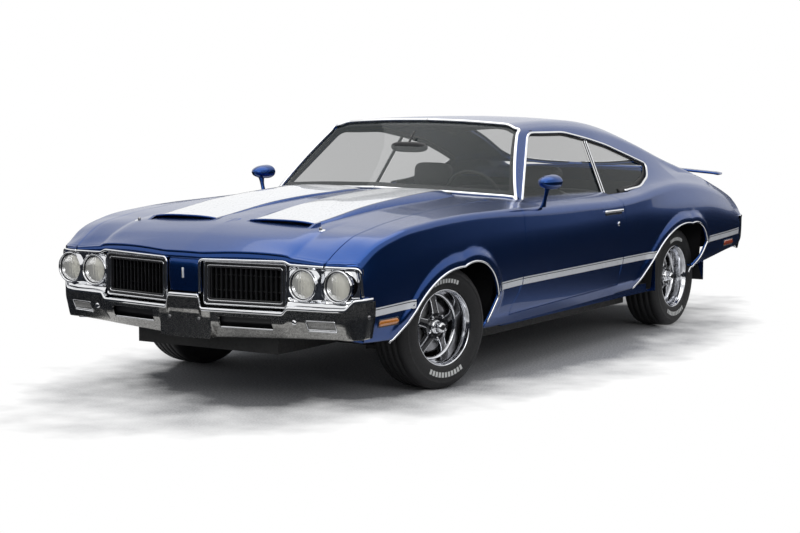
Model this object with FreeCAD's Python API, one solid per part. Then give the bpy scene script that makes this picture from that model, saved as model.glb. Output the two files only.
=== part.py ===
import FreeCAD, Part
import math
import os
from FreeCAD import Vector as V

# Two-door hardtop muscle car, millimetres.
# X is the car's left, the nose faces -Y, +Z is up, and the origin is on the ground below the
# middle of the overall box.  Every left-hand piece is mirrored in X = 0 for the right-hand one.

os.makedirs("parts", exist_ok=True)

# ---------------------------------------------------------------- driving dimensions
LENGTH = 5161.0              # bumper to bumper
WHEELBASE = 2845.0
FRONT_OVERHANG = 1070.0      # nose to front axle
TRACK_HALF = 753.0           # centre plane of a wheel from the centre line
STEER_REST = -12.0           # front wheels stand turned a little to the car's right, degrees
KINGPIN_X = 690.0            # steering axis of a front wheel

TYRE_R = 315.0
TYRE_HALF_WIDTH = 117.0
RIM_SEAT_R = 180.0           # barrel that the tyre's bead sits on
RIM_LIP_R = 196.0
RIM_HALF_WIDTH = 104.0
HUB_R = 44.0
SPINDLE_R = 16.0
RUNNING_GAP = 0.08           # radial clearance of a spindle in its hub
SEAT_GAP = 0.3               # clearance of a piece that is seated on another

SIDE_WALL = 48.0             # depth of a fender or quarter with its inner flange
DOOR_WALL = 110.0            # depth of a whole door
TOP_WALL = 22.0              # depth of the hood, deck lid and fender tops
ROOF_WALL = 38.0             # depth of the roof and its pillars
SHUT_GAP = 6.0               # gap round doors, hood and deck lid
GLASS = 6.0                  # thickness of the glazing
GLASS_INSET = 12.0           # glass surface below the body surface

FLOOR_Z = 262.0              # underside of the cabin floor
SHEET = 12.0                 # depth of floor, bulkheads and aprons with their ribs
FRAME_Z = 182.0              # underside of the perimeter frame
RAIL_H = 68.0                # height of a frame rail

HOOD_REAR = 600.0            # rear edge of the hood behind the front axle
PILLAR_SEAT = 12.0           # the cowl's side carries the windshield pillar beyond the rail line
COWL_REAR = 812.0            # front edge of the cabin opening behind the front axle
DECK_FRONT = 322.0           # front edge of the deck lid behind the rear axle
DECK_REAR = 1120.0           # rear edge of the deck lid behind the rear axle
DECK_HALF = 600.0            # half width of the deck lid at its front edge
HOOD_HINGE_Z = 958.0
DECK_HINGE_Z = 996.0

GRILLE_IN = 108.0            # inner edge of a grille opening
GRILLE_OUT = 552.0           # outer edge
GRILLE_LOW = 494.0
GRILLE_TOP = 706.0
GRILLE_BARS = 13
LAMP_X = (636.0, 816.0)      # inner and outer headlamp
LAMP_Z = 607.0
LAMP_R = 66.0
BEZEL_R = 78.0

STEERING_WHEEL_R = 190.0
STEERING_GRIP_R = 12.0
COLUMN_TILT = 24.0           # steering column above level, degrees

# ---------------------------------------------------------------- places that follow
NOSE_Y = -LENGTH / 2
TAIL_Y = LENGTH / 2
FA = NOSE_Y + FRONT_OVERHANG          # front axle
RA = FA + WHEELBASE                   # rear axle
AXLE_Z = TYRE_R
MID_Y = (FA + RA) / 2


def at(axle, dy):
    """Station measured from the front (F) or rear (R) axle."""
    return (FA if axle == "F" else RA) + dy


# ---------------------------------------------------------------- small shape helpers
def box(x0, x1, y0, y1, z0, z1):
    return Part.makeBox(x1 - x0, y1 - y0, z1 - z0, V(x0, y0, z0))


def prism(points, a, b, axis):
    """Polygon of (u, v) pairs pushed along axis x (u = y, v = z), y (x, z) or z (x, y)."""
    lift = {"x": lambda u, v: V(a, u, v), "y": lambda u, v: V(u, a, v), "z": lambda u, v: V(u, v, a)}
    way = {"x": V(b - a, 0, 0), "y": V(0, b - a, 0), "z": V(0, 0, b - a)}
    wire = Part.makePolygon([lift[axis](u, v) for u, v in points] + [lift[axis](*points[0])])
    return Part.Face(wire).extrude(way[axis])


def rod(start, end, radius):
    a, b = V(*start), V(*end)
    return Part.makeCylinder(radius, (b - a).Length, a, b - a)


def revolve_x(profile, x0, y0, z0):
    """Ring about an axle along X; the profile is (axial, radial) pairs."""
    wire = Part.makePolygon([V(x0 + a, y0, z0 + r) for a, r in profile + [profile[0]]])
    return Part.Face(wire).revolve(V(x0, y0, z0), V(1, 0, 0), 360)


def mirrored(shape):
    return shape.mirror(V(0, 0, 0), V(1, 0, 0))


def fuse(shapes):
    joined = shapes[0].fuse(shapes[1:]) if len(shapes) > 1 else shapes[0]
    return joined.removeSplitter()


def cut(shape, tools):
    for tool in tools:
        shape = shape.cut(tool)
    return shape


def loft(sections):
    return Part.makeLoft([Part.makePolygon(s + [s[0]]) for s in sections], True, True)


def save(name, shapes):
    solids = [s for shape in shapes for s in shape.Solids]
    Part.makeCompound(solids).exportStep("parts/" + name + ".step")
    print(name, len(solids), [round(s.Volume / 1000) for s in solids], all(s.isValid() for s in solids))


# ---------------------------------------------------------------- lower body surface
# One row per station of the left half.  Columns: axle and distance behind it, then x and z of the
# low edge, the sill crease, the widest line, the shoulder and the inner rail, z of the panel's
# crown halfway to the centre line, z on the centre line.
BODY = [
    ("F", -1090, 870, 352, 888, 480, 900, 580, 886, 668, 758, 690, 712, 720),
    ("F", -970, 872, 345, 894, 470, 906, 580, 888, 692, 762, 712, 768, 775),
    ("F", -890, 876, 338, 900, 450, 914, 585, 900, 716, 768, 764, 800, 806),
    ("F", -790, 880, 330, 906, 430, 920, 595, 914, 776, 774, 812, 828, 836),
    ("F", -590, 886, 320, 914, 410, 933, 615, 925, 836, 770, 850, 866, 874),
    ("F", -290, 888, 305, 916, 380, 941, 635, 928, 868, 756, 882, 902, 910),
    ("F", 10, 888, 290, 914, 350, 945, 650, 928, 882, 744, 902, 924, 932),
    ("F", 410, 886, 270, 908, 325, 947, 665, 928, 882, 738, 916, 942, 950),
    ("F", 655, 884, 273, 906, 326, 948, 672, 928, 874, 740, 924, 948, 956),
    ("F", 870, 884, 276, 906, 330, 948, 678, 928, 866, 796, 920, 948, 956),
    ("R", -1400, 884, 286, 906, 338, 948, 690, 928, 856, 800, 914, 948, 956),
    ("R", -930, 884, 296, 906, 350, 945, 698, 926, 852, 792, 906, 948, 956),
    ("R", -640, 886, 305, 908, 358, 944, 700, 921, 866, 782, 910, 950, 960),
    ("R", -330, 890, 322, 912, 374, 946, 700, 906, 892, 768, 940, 985, 1000),
    ("R", 20, 896, 345, 918, 395, 948, 696, 890, 902, 752, 965, 1000, 1010),
    ("R", 300, 896, 372, 920, 418, 944, 684, 880, 882, 742, 968, 988, 996),
    ("R", 550, 890, 396, 914, 440, 934, 662, 868, 848, 740, 950, 962, 968),
    ("R", 850, 880, 424, 902, 466, 916, 632, 846, 786, 752, 872, 896, 906),
    ("R", 1060, 866, 436, 886, 476, 894, 610, 832, 724, 752, 812, 836, 846),
    ("R", 1250, 850, 440, 868, 480, 876, 600, 816, 670, 740, 752, 772, 780),
]


def body_section(row, side=0.0, top=0.0, foot=0.0):
    axle, dy, lx, lz, cx, cz, mx, mz, sx, sz, rx, rz, crown, centre = row
    y = at(axle, dy)
    pairs = [(0, lz - foot), (lx - side, lz - foot), (cx - side, cz), (mx - side, mz),
             (sx - side, sz - top), (rx - min(side, 20), rz - top), (rx / 2, crown - top),
             (0, centre - top)]
    return [V(x, y, z) for x, z in pairs]


def body_solid(side=0.0, top=0.0, foot=0.0):
    return loft([body_section(row, side, top, foot) for row in BODY])


# Plan of the nose and of the tail: half outlines as (x, y), the body ends on them.
NOSE_PLAN = [(0, NOSE_Y + 8), (111, NOSE_Y + 10), (550, NOSE_Y + 80), (760, NOSE_Y + 102),
             (850, NOSE_Y + 138), (960, NOSE_Y + 230)]
TAIL_PLAN = [(0, TAIL_Y - 62), (600, TAIL_Y - 76), (780, TAIL_Y - 102), (960, TAIL_Y - 190)]
nose_cut = prism([(-10, NOSE_Y - 300), (-10, NOSE_PLAN[0][1])] + NOSE_PLAN + [(960, NOSE_Y - 300)],
                 0, 1500, "z")
tail_cut = prism([(-10, TAIL_Y + 300), (-10, TAIL_PLAN[0][1])] + TAIL_PLAN + [(960, TAIL_Y + 300)],
                 0, 1500, "z")

body_outer = body_solid().cut(nose_cut).cut(tail_cut)
shell = body_outer.cut(body_solid(SIDE_WALL, TOP_WALL, 60))
door_shell = body_outer.cut(body_solid(DOOR_WALL, 46, 60))

# ---------------------------------------------------------------- wheel openings
# Side view, (y from the axle, z): low front tip, start of the arc, a point on it, the top, a point
# behind, its end and the low rear tip.
FRONT_ARCH = [(-602, 300), (-438, 452), (-288, 566), (0, 628), (285, 586), (390, 440), (290, 255)]
REAR_ARCH = [(-706, 290), (-398, 540), (-240, 624), (66, 654), (280, 600), (346, 520), (165, 330)]


def arch_tool(points, axle_y):
    """Solid that opens the body side over a wheel: lines and two arcs pushed along X."""
    low_front, front, front_mid, top, rear_mid, rear, low_rear = [
        V(560, axle_y + dy, z) for dy, z in points]
    edges = [Part.LineSegment(low_front, front).toShape(),
             Part.Arc(front, front_mid, top).toShape(),
             Part.Arc(top, rear_mid, rear).toShape(),
             Part.LineSegment(rear, low_rear).toShape()]
    below_rear = V(560, low_rear.y, 100)
    below_front = V(560, low_front.y, 100)
    edges += [Part.LineSegment(low_rear, below_rear).toShape(),
              Part.LineSegment(below_rear, below_front).toShape(),
              Part.LineSegment(below_front, low_front).toShape()]
    return Part.Face(Part.Wire(edges)).extrude(V(500, 0, 0))


arches = [arch_tool(FRONT_ARCH, FA), arch_tool(REAR_ARCH, RA)]

# ---------------------------------------------------------------- shut lines, side view
# Front and rear edge of the door as (y, z), top to bottom.
DOOR_FRONT = [(at("F", 712), 980), (at("F", 712), 926), (at("F", 662), 868), (at("F", 670), 500),
              (at("F", 632), 430), (at("F", 552), 352)]
DOOR_REAR = [(at("R", -948), 980), (at("R", -948), 900), (at("R", -905), 780), (at("R", -902), 700),
             (at("R", -906), 490), (at("R", -936), 410), (at("R", -944), 352)]
SILL = [(at("F", 552), 318), (at("R", -944), 352)]     # sill crease under the door


def shifted(points, dy, dz=0):
    return [(y + dy, z + dz) for y, z in points]


def rail_line(offset):
    """Plan line of the inner rail of the lower body, moved outward by offset."""
    return [(row[10] + offset, at(row[0], row[1])) for row in BODY]


def outboard(offset, y0, y1):
    """Everything outboard of the rail line between two stations."""
    line = [(x, y) for x, y in rail_line(offset)]
    return prism([(1100, line[0][1])] + line + [(1100, line[-1][1])], 0, 1500, "z").common(
        box(0, 1100, y0, y1, 0, 1500))


def inboard(offset, y0, y1):
    """Everything inboard of the rail line between two stations."""
    line = rail_line(offset)
    return prism([(0, line[0][1])] + line + [(0, line[-1][1])], 0, 1500, "z").common(
        box(0, 1100, y0, y1, 0, 1500))


fender_zone = prism([(NOSE_Y - 50, 100), (NOSE_Y - 50, 1100), (DOOR_FRONT[0][0], 1100)] + DOOR_FRONT
                    + [SILL[0], (SILL[0][0], 100)], 0, 1100, "x")
door_zone = prism(shifted(DOOR_FRONT, SHUT_GAP) + [(SILL[0][0] + SHUT_GAP, SILL[0][1] + SHUT_GAP),
                  (SILL[1][0] - SHUT_GAP, SILL[1][1] + SHUT_GAP)]
                  + shifted(DOOR_REAR, -SHUT_GAP)[::-1], 0, 1100, "x")
quarter_zone = prism([(TAIL_Y + 50, 100), (TAIL_Y + 50, 1100), (DOOR_REAR[0][0], 1100)] + DOOR_REAR
                     + [SILL[1], (SILL[1][0], 100)], 0, 1100, "x")
rocker_zone = prism([SILL[0], (SILL[0][0], 100), (SILL[1][0], 100), SILL[1]], 0, 1100, "x")

def deck_line(offset):
    """Plan line of the deck lid's side edge, moved outward by offset, on to the tail."""
    return [(DECK_HALF + offset, RA + DECK_FRONT - SHUT_GAP), (DECK_HALF + 50 + offset, RA + 700),
            (DECK_HALF + 90 + offset, RA + DECK_REAR), (DECK_HALF + 96 + offset, TAIL_Y)]


# ---------------------------------------------------------------- cabin (greenhouse) surface
# Columns: axle and distance behind it, z on the centre line, z of the crown, x and z of the roof
# shoulder, of the gutter and of the belt.
CABIN = [
    ("F", 560, 1322, 1318, 560, 1302, 634, 1262, 812, 900),
    ("F", 1210, 1334, 1330, 552, 1314, 628, 1276, 806, 900),
    ("R", -1135, 1341, 1337, 545, 1322, 618, 1282, 804, 900),
    ("R", -735, 1328, 1323, 530, 1306, 606, 1262, 800, 896),
    ("R", -435, 1290, 1285, 520, 1268, 602, 1222, 800, 890),
    ("R", -95, 1176, 1178, 528, 1186, 624, 1146, 800, 890),
    ("R", 270, 1020, 1024, 560, 1060, 672, 1036, 800, 890),
    ("R", 545, 930, 935, 640, 965, 738, 950, 820, 880),
]


def cabin_section(row, inset):
    axle, dy, centre, crown, bx, bz, gx, gz, dx, dz = row
    y = at(axle, dy)
    lean = inset * 0.45
    pairs = [(0, dz), (dx - inset, dz), (gx - inset, gz - lean), (bx - lean, bz - inset),
             (bx / 2, crown - inset), (0, centre - inset)]
    return [V(x, y, z) for x, z in pairs]


def cabin_solid(inset):
    return loft([cabin_section(row, inset) for row in CABIN])


def windshield_front(shift):
    """Everything ahead of the windshield surface, which is curved in plan and raked."""
    wires = []
    for z, middle, bend in [(880.0, at("F", 512), 266.0), (1360.0, at("F", 1262), 20.0)]:
        left = V(900, middle + bend * 1.46 + shift, z)
        right = V(-900, left.y, z)
        arc = Part.Arc(left, V(0, middle + shift, z), right).toShape()
        far_right = V(-900, FA - 400, z)
        far_left = V(900, FA - 400, z)
        wires.append(Part.Wire([arc, Part.LineSegment(right, far_right).toShape(),
                                Part.LineSegment(far_right, far_left).toShape(),
                                Part.LineSegment(far_left, left).toShape()]))
    return Part.makeLoft(wires, True, True)


# Side glass outlines in side view (y, z).
DOOR_GLASS = [(at("F", 882), 900), (at("F", 1258), 1256), (at("R", -1150), 1250), (at("R", -890), 1212),
              (at("R", -958), 880), (at("F", 882), 880)]
QUARTER_GLASS = [(at("R", -925), 895), (at("R", -858), 1204), (at("R", -590), 1165.6),
                 (at("R", -340), 1098.6), (at("R", -130), 1030), (at("R", -250), 965),
                 (at("R", -480), 915), (at("R", -700), 895)]
SIDE_OPENING = [(at("F", 868), 880), (at("F", 868), 902), (at("F", 1250), 1264), (at("R", -1150), 1258),
                (at("R", -850), 1214), (at("R", -590), 1166), (at("R", -340), 1099),
                (at("R", -116), 1034), (at("R", -240), 958), (at("R", -470), 906),
                (at("R", -700), 886), (at("R", -700), 880)]
REAR_GLASS = [(0, at("R", -372)), (455, at("R", -358)), (520, at("R", 215)), (500, at("R", 292)),
              (0, at("R", 300))]

cabin_outer = cabin_solid(0)
cabin_shell = cabin_outer.cut(cabin_solid(ROOF_WALL))
front_of_glass = windshield_front(0)
side_opening = prism(SIDE_OPENING, 0, 1000, "x")
rear_opening = prism(REAR_GLASS, 900, 1500, "z")
deck_edge = deck_line(SHUT_GAP)
over_deck = prism([(0, deck_edge[0][1])] + deck_edge + [(0, TAIL_Y)], 0, 1500, "z")
roof_half = cut(cabin_shell, [front_of_glass, side_opening, rear_opening, over_deck, body_outer])
roof_half = max(roof_half.Solids, key=lambda s: s.Volume)
save("roof", [fuse([roof_half, mirrored(roof_half)])])

glass_band = cabin_solid(GLASS_INSET).cut(cabin_solid(GLASS_INSET + GLASS))
door_glass = glass_band.common(prism(DOOR_GLASS, 300, 1000, "x"))
door_glass = door_glass.cut(body_outer)
quarter_glass = glass_band.common(prism(QUARTER_GLASS, 300, 1000, "x")).cut(body_outer)
rear_glass = glass_band.common(rear_opening).cut(body_outer)
windshield = windshield_front(GLASS_INSET + GLASS).cut(windshield_front(GLASS_INSET)).common(
    cabin_solid(ROOF_WALL))
windshield = windshield.cut(body_outer)
save("windshield", [fuse([windshield, mirrored(windshield)])])
save("rear_window", [fuse([rear_glass, mirrored(rear_glass)])])
save("quarter_windows", [quarter_glass, mirrored(quarter_glass)])

# ---------------------------------------------------------------- bumpers
# Half plan of each bumper from the middle to its end round the corner.  Columns: x, distance in
# from the end of the car, z of the top edge and of the bottom edge.
FRONT_BUMPER = [(0, 0, 541, 324), (94, 1, 541, 326), (106, 2, 478, 326), (545, 59, 478, 343),
                (566, 63, 508, 344), (790, 104, 504, 350), (850, 130, 504, 351), (884, 152, 548, 352),
                (927, 205, 552, 354), (933, 250, 552, 356)]
REAR_BUMPER = [(0, 0, 640, 416), (600, 16, 640, 416), (780, 46, 642, 415), (852, 90, 645, 412),
               (884, 150, 646, 410), (893, 212, 640, 420)]
# Profile of a bumper.  Columns: inset from the plan line, share of the height, top edge = 1.
BUMPER_PROFILE = [(30, 0.98), (8, 1.0), (0, 0.9), (6, 0.55), (34, 0.3), (66, 0.0), (86, 0.04),
                  (58, 0.33), (32, 0.55), (26, 0.88)]


def bumper_half(rows, end_y, way):
    """Loft along the plan line; way is +1 where inward is +Y (front) and -1 at the rear."""
    line = [(x, end_y + way * inset, top, low) for x, inset, top, low in rows]
    sections = []
    for i, (x, y, top, low) in enumerate(line):
        before, after = line[max(i - 1, 0)], line[min(i + 1, len(line) - 1)]
        along = V(after[0] - before[0], after[1] - before[1], 0) if i else V(1, 0, 0)
        along.normalize()
        inward = V(-along.y * way, along.x * way, 0)
        inward = inward if inward.y * way > 0 or inward.x < 0 else -inward
        sections.append([V(x + inward.x * s, y + inward.y * s, low + (top - low) * h)
                         for s, h in BUMPER_PROFILE])
    return loft(sections)


SLOT_X = (199.0, 486.0)
SLOT_Z = (391.0, 442.0)
PARKING_X = (655.0, 806.0)
PARKING_Z = (394.0, 446.0)
PLATE_HALF = 156.0
PLATE_HOLE_X = 89.0          # half the spacing of the two number plate bolts
PLATE_HOLE_R = 4.0
PLATE_HOLE_Z = (420.0, 560.0)     # front and rear

front_bumper_shape = bumper_half(FRONT_BUMPER, NOSE_Y, 1)
rear_bumper_shape = bumper_half(REAR_BUMPER, TAIL_Y, -1)

# ---------------------------------------------------------------- fenders, doors and quarters
lamp_rims = [rod((x, NOSE_Y, LAMP_Z), (x, NOSE_Y + 260, LAMP_Z), LAMP_R + SEAT_GAP) for x in LAMP_X]
wheel_rooms = [rod((560, FA, AXLE_Z), (TRACK_HALF + TYRE_HALF_WIDTH + 2, FA, AXLE_Z), TYRE_R + 25),
               rod((560, RA, AXLE_Z), (TRACK_HALF + TYRE_HALF_WIDTH + 12, RA, AXLE_Z), TYRE_R + 40)]
lamp_wells = [rod((x, NOSE_Y, LAMP_Z), (x, NOSE_Y + 260, LAMP_Z), BEZEL_R + 1) for x in LAMP_X]
fender = cut(shell.common(fender_zone).common(outboard(0, NOSE_Y - 50, RA)),
             [arches[0], front_bumper_shape] + lamp_wells + wheel_rooms)
pillar_foot = FA + COWL_REAR + 62
door = door_shell.common(door_zone).common(outboard(-28, FA + 400, RA - 300))
door = door.cut(inboard(PILLAR_SEAT + SHUT_GAP, FA + 400, pillar_foot + SHUT_GAP))
quarter_plan = [(x, y) for x, y in rail_line(SHUT_GAP / 2) if FA + COWL_REAR < y < RA + 200]
quarter_edge = quarter_plan + [(quarter_plan[-1][0], RA + DECK_FRONT - SHUT_GAP)] + deck_line(SHUT_GAP)
quarter = cut(shell.common(quarter_zone), [arches[1], rear_bumper_shape] + wheel_rooms)
quarter = quarter.common(prism([(1100, quarter_edge[0][1])] + quarter_edge
                               + [(1100, TAIL_Y)], 0, 1500, "z"))
rocker = cut(shell.common(rocker_zone), arches)
for side, turn in [("left", lambda s: s), ("right", mirrored)]:
    save("fender_" + side, [turn(fender)])
    save("quarter_" + side, [turn(quarter)])
    save("door_" + side, [turn(door)])
    save("door_glass_" + side, [turn(door_glass)])


# ---------------------------------------------------------------- hood, cowl, deck lid, tail
# Ram-air scoop of the left half.  Columns: distance behind the front axle, x at the foot and at the
# top of the inner side, the same of the outer side, z of the foot and of the top.
SCOOP = [
    (-700, 96, 112, 500, 484, 826, 880),
    (-190, 92, 106, 512, 500, 870, 934),
    (300, 78, 90, 520, 508, 915, 967),
    (365, 76, 84, 522, 514, 925, 950),
]
MOUTH = (124, 470, -860, -560, 845, 870)      # x, y from the front axle, z of the black opening
BEAK_HALF = 94.0
BEAK_LOW = 550.0


def scoop_section(row):
    dy, foot_in, top_in, foot_out, top_out, low, high = row
    return [V(foot_in, FA + dy, low), V(foot_out, FA + dy, low), V(top_out, FA + dy, high),
            V(top_in, FA + dy, high)]


scoop = loft([scoop_section(row) for row in SCOOP])
mouth = box(MOUTH[0], MOUTH[1], FA + MOUTH[2], FA + MOUTH[3], MOUTH[4], MOUTH[5])
hood_half = shell.common(inboard(-SHUT_GAP, NOSE_Y - 50, FA + HOOD_REAR))
beak = prism([(NOSE_Y + 14, BEAK_LOW), (NOSE_Y + 9, 640), (NOSE_Y + 9, 724), (NOSE_Y + 60, 735),
              (NOSE_Y + 60, BEAK_LOW)], 0, BEAK_HALF, "x")
hood_half = fuse([hood_half, scoop, beak]).cut(mouth)
save("hood", [fuse([hood_half, mirrored(hood_half)])])

cowl_half = shell.common(inboard(0, FA + HOOD_REAR + SHUT_GAP, FA + COWL_REAR))
cowl_side = shell.common(inboard(PILLAR_SEAT, DOOR_FRONT[0][0], pillar_foot)).common(
    box(690, 900, FA, RA, 800, 1000))
cowl_half = fuse([cowl_half, cowl_side])
cowl = fuse([cowl_half, mirrored(cowl_half)])
save("cowl", [cowl])


def between(y0, y1, offset):
    """Everything inboard of the deck lid's side edge between two stations."""
    line = deck_line(offset)
    return prism([(0, line[0][1])] + line + [(0, line[-1][1])], 0, 1500, "z").common(
        box(0, 1100, y0, y1, 0, 1500))


deck_half = shell.common(between(RA + DECK_FRONT, RA + DECK_REAR, 0))
save("deck_lid", [fuse([deck_half, mirrored(deck_half)])])

filler = shell.common(inboard(SHUT_GAP / 2, RA - 326, RA + DECK_FRONT - SHUT_GAP)).common(
    box(0, 900, 0, TAIL_Y, 800, 1500))
tail_strip = prism([(x, y - 24) for x, y in TAIL_PLAN] + TAIL_PLAN[::-1], 300, 1500, "z")
tail_top = shell.common(between(RA + DECK_REAR + SHUT_GAP, TAIL_Y, SHUT_GAP))
tail_half = fuse([body_outer.common(tail_strip).cut(quarter), tail_top]).cut(rear_bumper_shape)
under_lid = body_solid(SIDE_WALL, TOP_WALL + SEAT_GAP, 60)
lid_edge = RA + DECK_FRONT
hinge_seat = fuse([box(370, 430, lid_edge - SHUT_GAP - 24, lid_edge + 26, 938, 990).common(under_lid),
                   box(370, 430, lid_edge - SHUT_GAP - 24, lid_edge - SHUT_GAP, 938, 1020).common(body_outer)])
filler = fuse([filler, hinge_seat])
filler_full = fuse([filler, mirrored(filler)])
tail_half = max(tail_half.Solids, key=lambda t: t.Volume)
tail_full = fuse([tail_half, mirrored(tail_half)])
save("tail_panel", [filler_full, tail_full])

# Rear wing on the deck lid.  Columns: x, z of the underside.
WING = [(0, 950), (400, 942), (700, 922), (742, 915)]
WING_Y = (at("R", 990), at("R", 1112))
WING_DEPTH = 22.0
POST_X = 470.0
wing_half = loft([[V(x, WING_Y[0], z + 4), V(x, WING_Y[1], z), V(x, WING_Y[1], z + WING_DEPTH - 6),
                   V(x, WING_Y[0] + 30, z + WING_DEPTH), V(x, WING_Y[0], z + WING_DEPTH - 4)]
                  for x, z in WING])
post = box(POST_X - 12, POST_X + 12, WING_Y[0] + 20, WING_Y[1] - 30, 800, 945).cut(body_outer)
wing_half = fuse([wing_half, post])
save("rear_wing", [fuse([wing_half, mirrored(wing_half)])])

slot = box(SLOT_X[0], SLOT_X[1], NOSE_Y, NOSE_Y + 200, SLOT_Z[0], SLOT_Z[1])
parking_well = box(PARKING_X[0], PARKING_X[1], NOSE_Y, NOSE_Y + 200, PARKING_Z[0], PARKING_Z[1])
front_bumper = cut(front_bumper_shape, [slot, parking_well] + lamp_rims)
front_iron = box(372, 418, NOSE_Y + 66, FA - 850, 440, 478)
front_bumper = fuse([front_bumper, front_iron.cut(front_bumper)])
plate_seat = box(0, PLATE_HALF, NOSE_Y + 14, NOSE_Y + 40, 330, 446)
front_bumper = fuse([front_bumper, plate_seat])
rear_iron = box(470, 510, TAIL_Y - 120, TAIL_Y - 40, 500, 540).cut(body_outer)
rear_bumper = fuse([rear_bumper_shape, rear_iron])


def with_plate_holes(bumper, y, z):
    """Both halves joined, with the two bolt holes of the number plate along Y."""
    joined = fuse([bumper, mirrored(bumper)])
    return cut(joined, [rod((x, y - 60, z), (x, y + 60, z), PLATE_HOLE_R)
                        for x in (-PLATE_HOLE_X, PLATE_HOLE_X)])


front_bumper = with_plate_holes(front_bumper, NOSE_Y + 30, PLATE_HOLE_Z[0])
rear_bumper = with_plate_holes(rear_bumper, TAIL_Y - 10, PLATE_HOLE_Z[1])
save("front_bumper", [front_bumper])
save("rear_bumper", [rear_bumper])

# ---------------------------------------------------------------- grilles and lamps
GRILLE_FRONT = ((GRILLE_IN, NOSE_Y + 22), (GRILLE_OUT, NOSE_Y + 92))     # plan line of the frame
GRILLE_DEPTH = 46.0
FRAME_EDGE = 14.0
BAR_WIDTH = 9.0


def grille_slab(x0, x1, near, far, z0, z1):
    """Slab between two depths behind the slanted front line of the grille."""
    (ax, ay), (bx, by) = GRILLE_FRONT
    lean = (by - ay) / (bx - ax)
    corners = [(x0, near), (x1, near), (x1, far), (x0, far)]
    return prism([(x, ay + (x - ax) * lean + depth) for x, depth in corners], z0, z1, "z")


grille_low = GRILLE_LOW - 8
frame = grille_slab(GRILLE_IN, GRILLE_OUT, 0, GRILLE_DEPTH, grille_low, GRILLE_TOP).cut(
    grille_slab(GRILLE_IN + FRAME_EDGE, GRILLE_OUT - FRAME_EDGE, -5, GRILLE_DEPTH - 10,
                grille_low + FRAME_EDGE, GRILLE_TOP - FRAME_EDGE))
pitch = (GRILLE_OUT - GRILLE_IN - 2 * FRAME_EDGE) / (GRILLE_BARS + 1)
bars = [grille_slab(GRILLE_IN + FRAME_EDGE + pitch * (i + 1) - BAR_WIDTH / 2,
                    GRILLE_IN + FRAME_EDGE + pitch * (i + 1) + BAR_WIDTH / 2, 10, GRILLE_DEPTH - 8,
                    grille_low + 5, GRILLE_TOP - 5) for i in range(GRILLE_BARS)]
grille = fuse([frame] + bars)
save("grilles", [grille, mirrored(grille)])

LAMP_Y = NOSE_Y + 134
lamp_plate = prism([(GRILLE_OUT + SEAT_GAP, NOSE_Y + 98), (756, NOSE_Y + 112), (846, NOSE_Y + 146),
                    (905, NOSE_Y + 200), (905, NOSE_Y + 232), (GRILLE_OUT + SEAT_GAP, NOSE_Y + 170)],
                   LAMP_Z - BEZEL_R - 2, LAMP_Z + BEZEL_R + 2, "z").common(body_outer)
bulbs = []
for x in LAMP_X:
    lamp_plate = lamp_plate.cut(rod((x, NOSE_Y, LAMP_Z), (x, LAMP_Y + 60, LAMP_Z), LAMP_R + SEAT_GAP))
    lens = Part.makeSphere(170, V(x, LAMP_Y - 6 + 170, LAMP_Z)).common(
        rod((x, LAMP_Y - 30, LAMP_Z), (x, LAMP_Y + 36, LAMP_Z), LAMP_R))
    bulbs.append(lens)
lamp_plate = cut(lamp_plate, [fender, front_bumper])
save("headlamp_bezels", [lamp_plate, mirrored(lamp_plate)])
save("headlamps", bulbs + [mirrored(b) for b in bulbs])

parking = box(PARKING_X[0] + SEAT_GAP, PARKING_X[1] - SEAT_GAP, NOSE_Y + 116, NOSE_Y + 150,
              PARKING_Z[0] + SEAT_GAP, PARKING_Z[1] - SEAT_GAP)
FRONT_MARKER = (at("F", -735), at("F", -575), 403, 431)
REAR_MARKER = (at("R", 700), at("R", 880), 462, 492)
markers = []
for y0, y1, z0, z1 in (FRONT_MARKER, REAR_MARKER):
    lump = box(860, 960, y0, y1, z0, z1).common(body_solid(-3.0)).cut(body_outer)
    markers.append(lump)
lamps = [parking] + markers
save("marker_lamps", lamps + [mirrored(m) for m in lamps])

TAIL_LAMPS = [(556, 592), (628, 664)]        # x of the two upright lenses on each side
tail_lenses = []
for x0, x1 in TAIL_LAMPS:
    lens = box(x0, x1, TAIL_Y - 100, TAIL_Y - 56, 652, 748).cut(body_outer)
    tail_lenses.append(lens)
save("tail_lamps", tail_lenses + [mirrored(t) for t in tail_lenses])

# ---------------------------------------------------------------- wheels, tyres and knuckles
TYRE_PROFILE = [(-0.83, RIM_SEAT_R + SEAT_GAP), (-0.83, RIM_LIP_R + 2), (-0.96, 214), (-1.0, 252), (-0.95, 288), (-0.83, 306),
                (-0.66, TYRE_R), (0.66, TYRE_R), (0.83, 306), (0.95, 288), (1.0, 252), (0.96, 214),
                (0.83, RIM_LIP_R + 2), (0.83, RIM_SEAT_R + SEAT_GAP), (0.70, 200), (0.84, 236), (0.80, 280), (0.62, 298),
                (-0.62, 298), (-0.80, 280), (-0.84, 236), (-0.70, 200)]
DISC_A = 6.0                 # outer face of the hub flange from the wheel's centre plane
DRUM_R = 104.0
bore_r = SPINDLE_R + RUNNING_GAP


def tyre_at(y):
    return revolve_x([(a * TYRE_HALF_WIDTH, r) for a, r in TYRE_PROFILE], TRACK_HALF, y, AXLE_Z)


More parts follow.
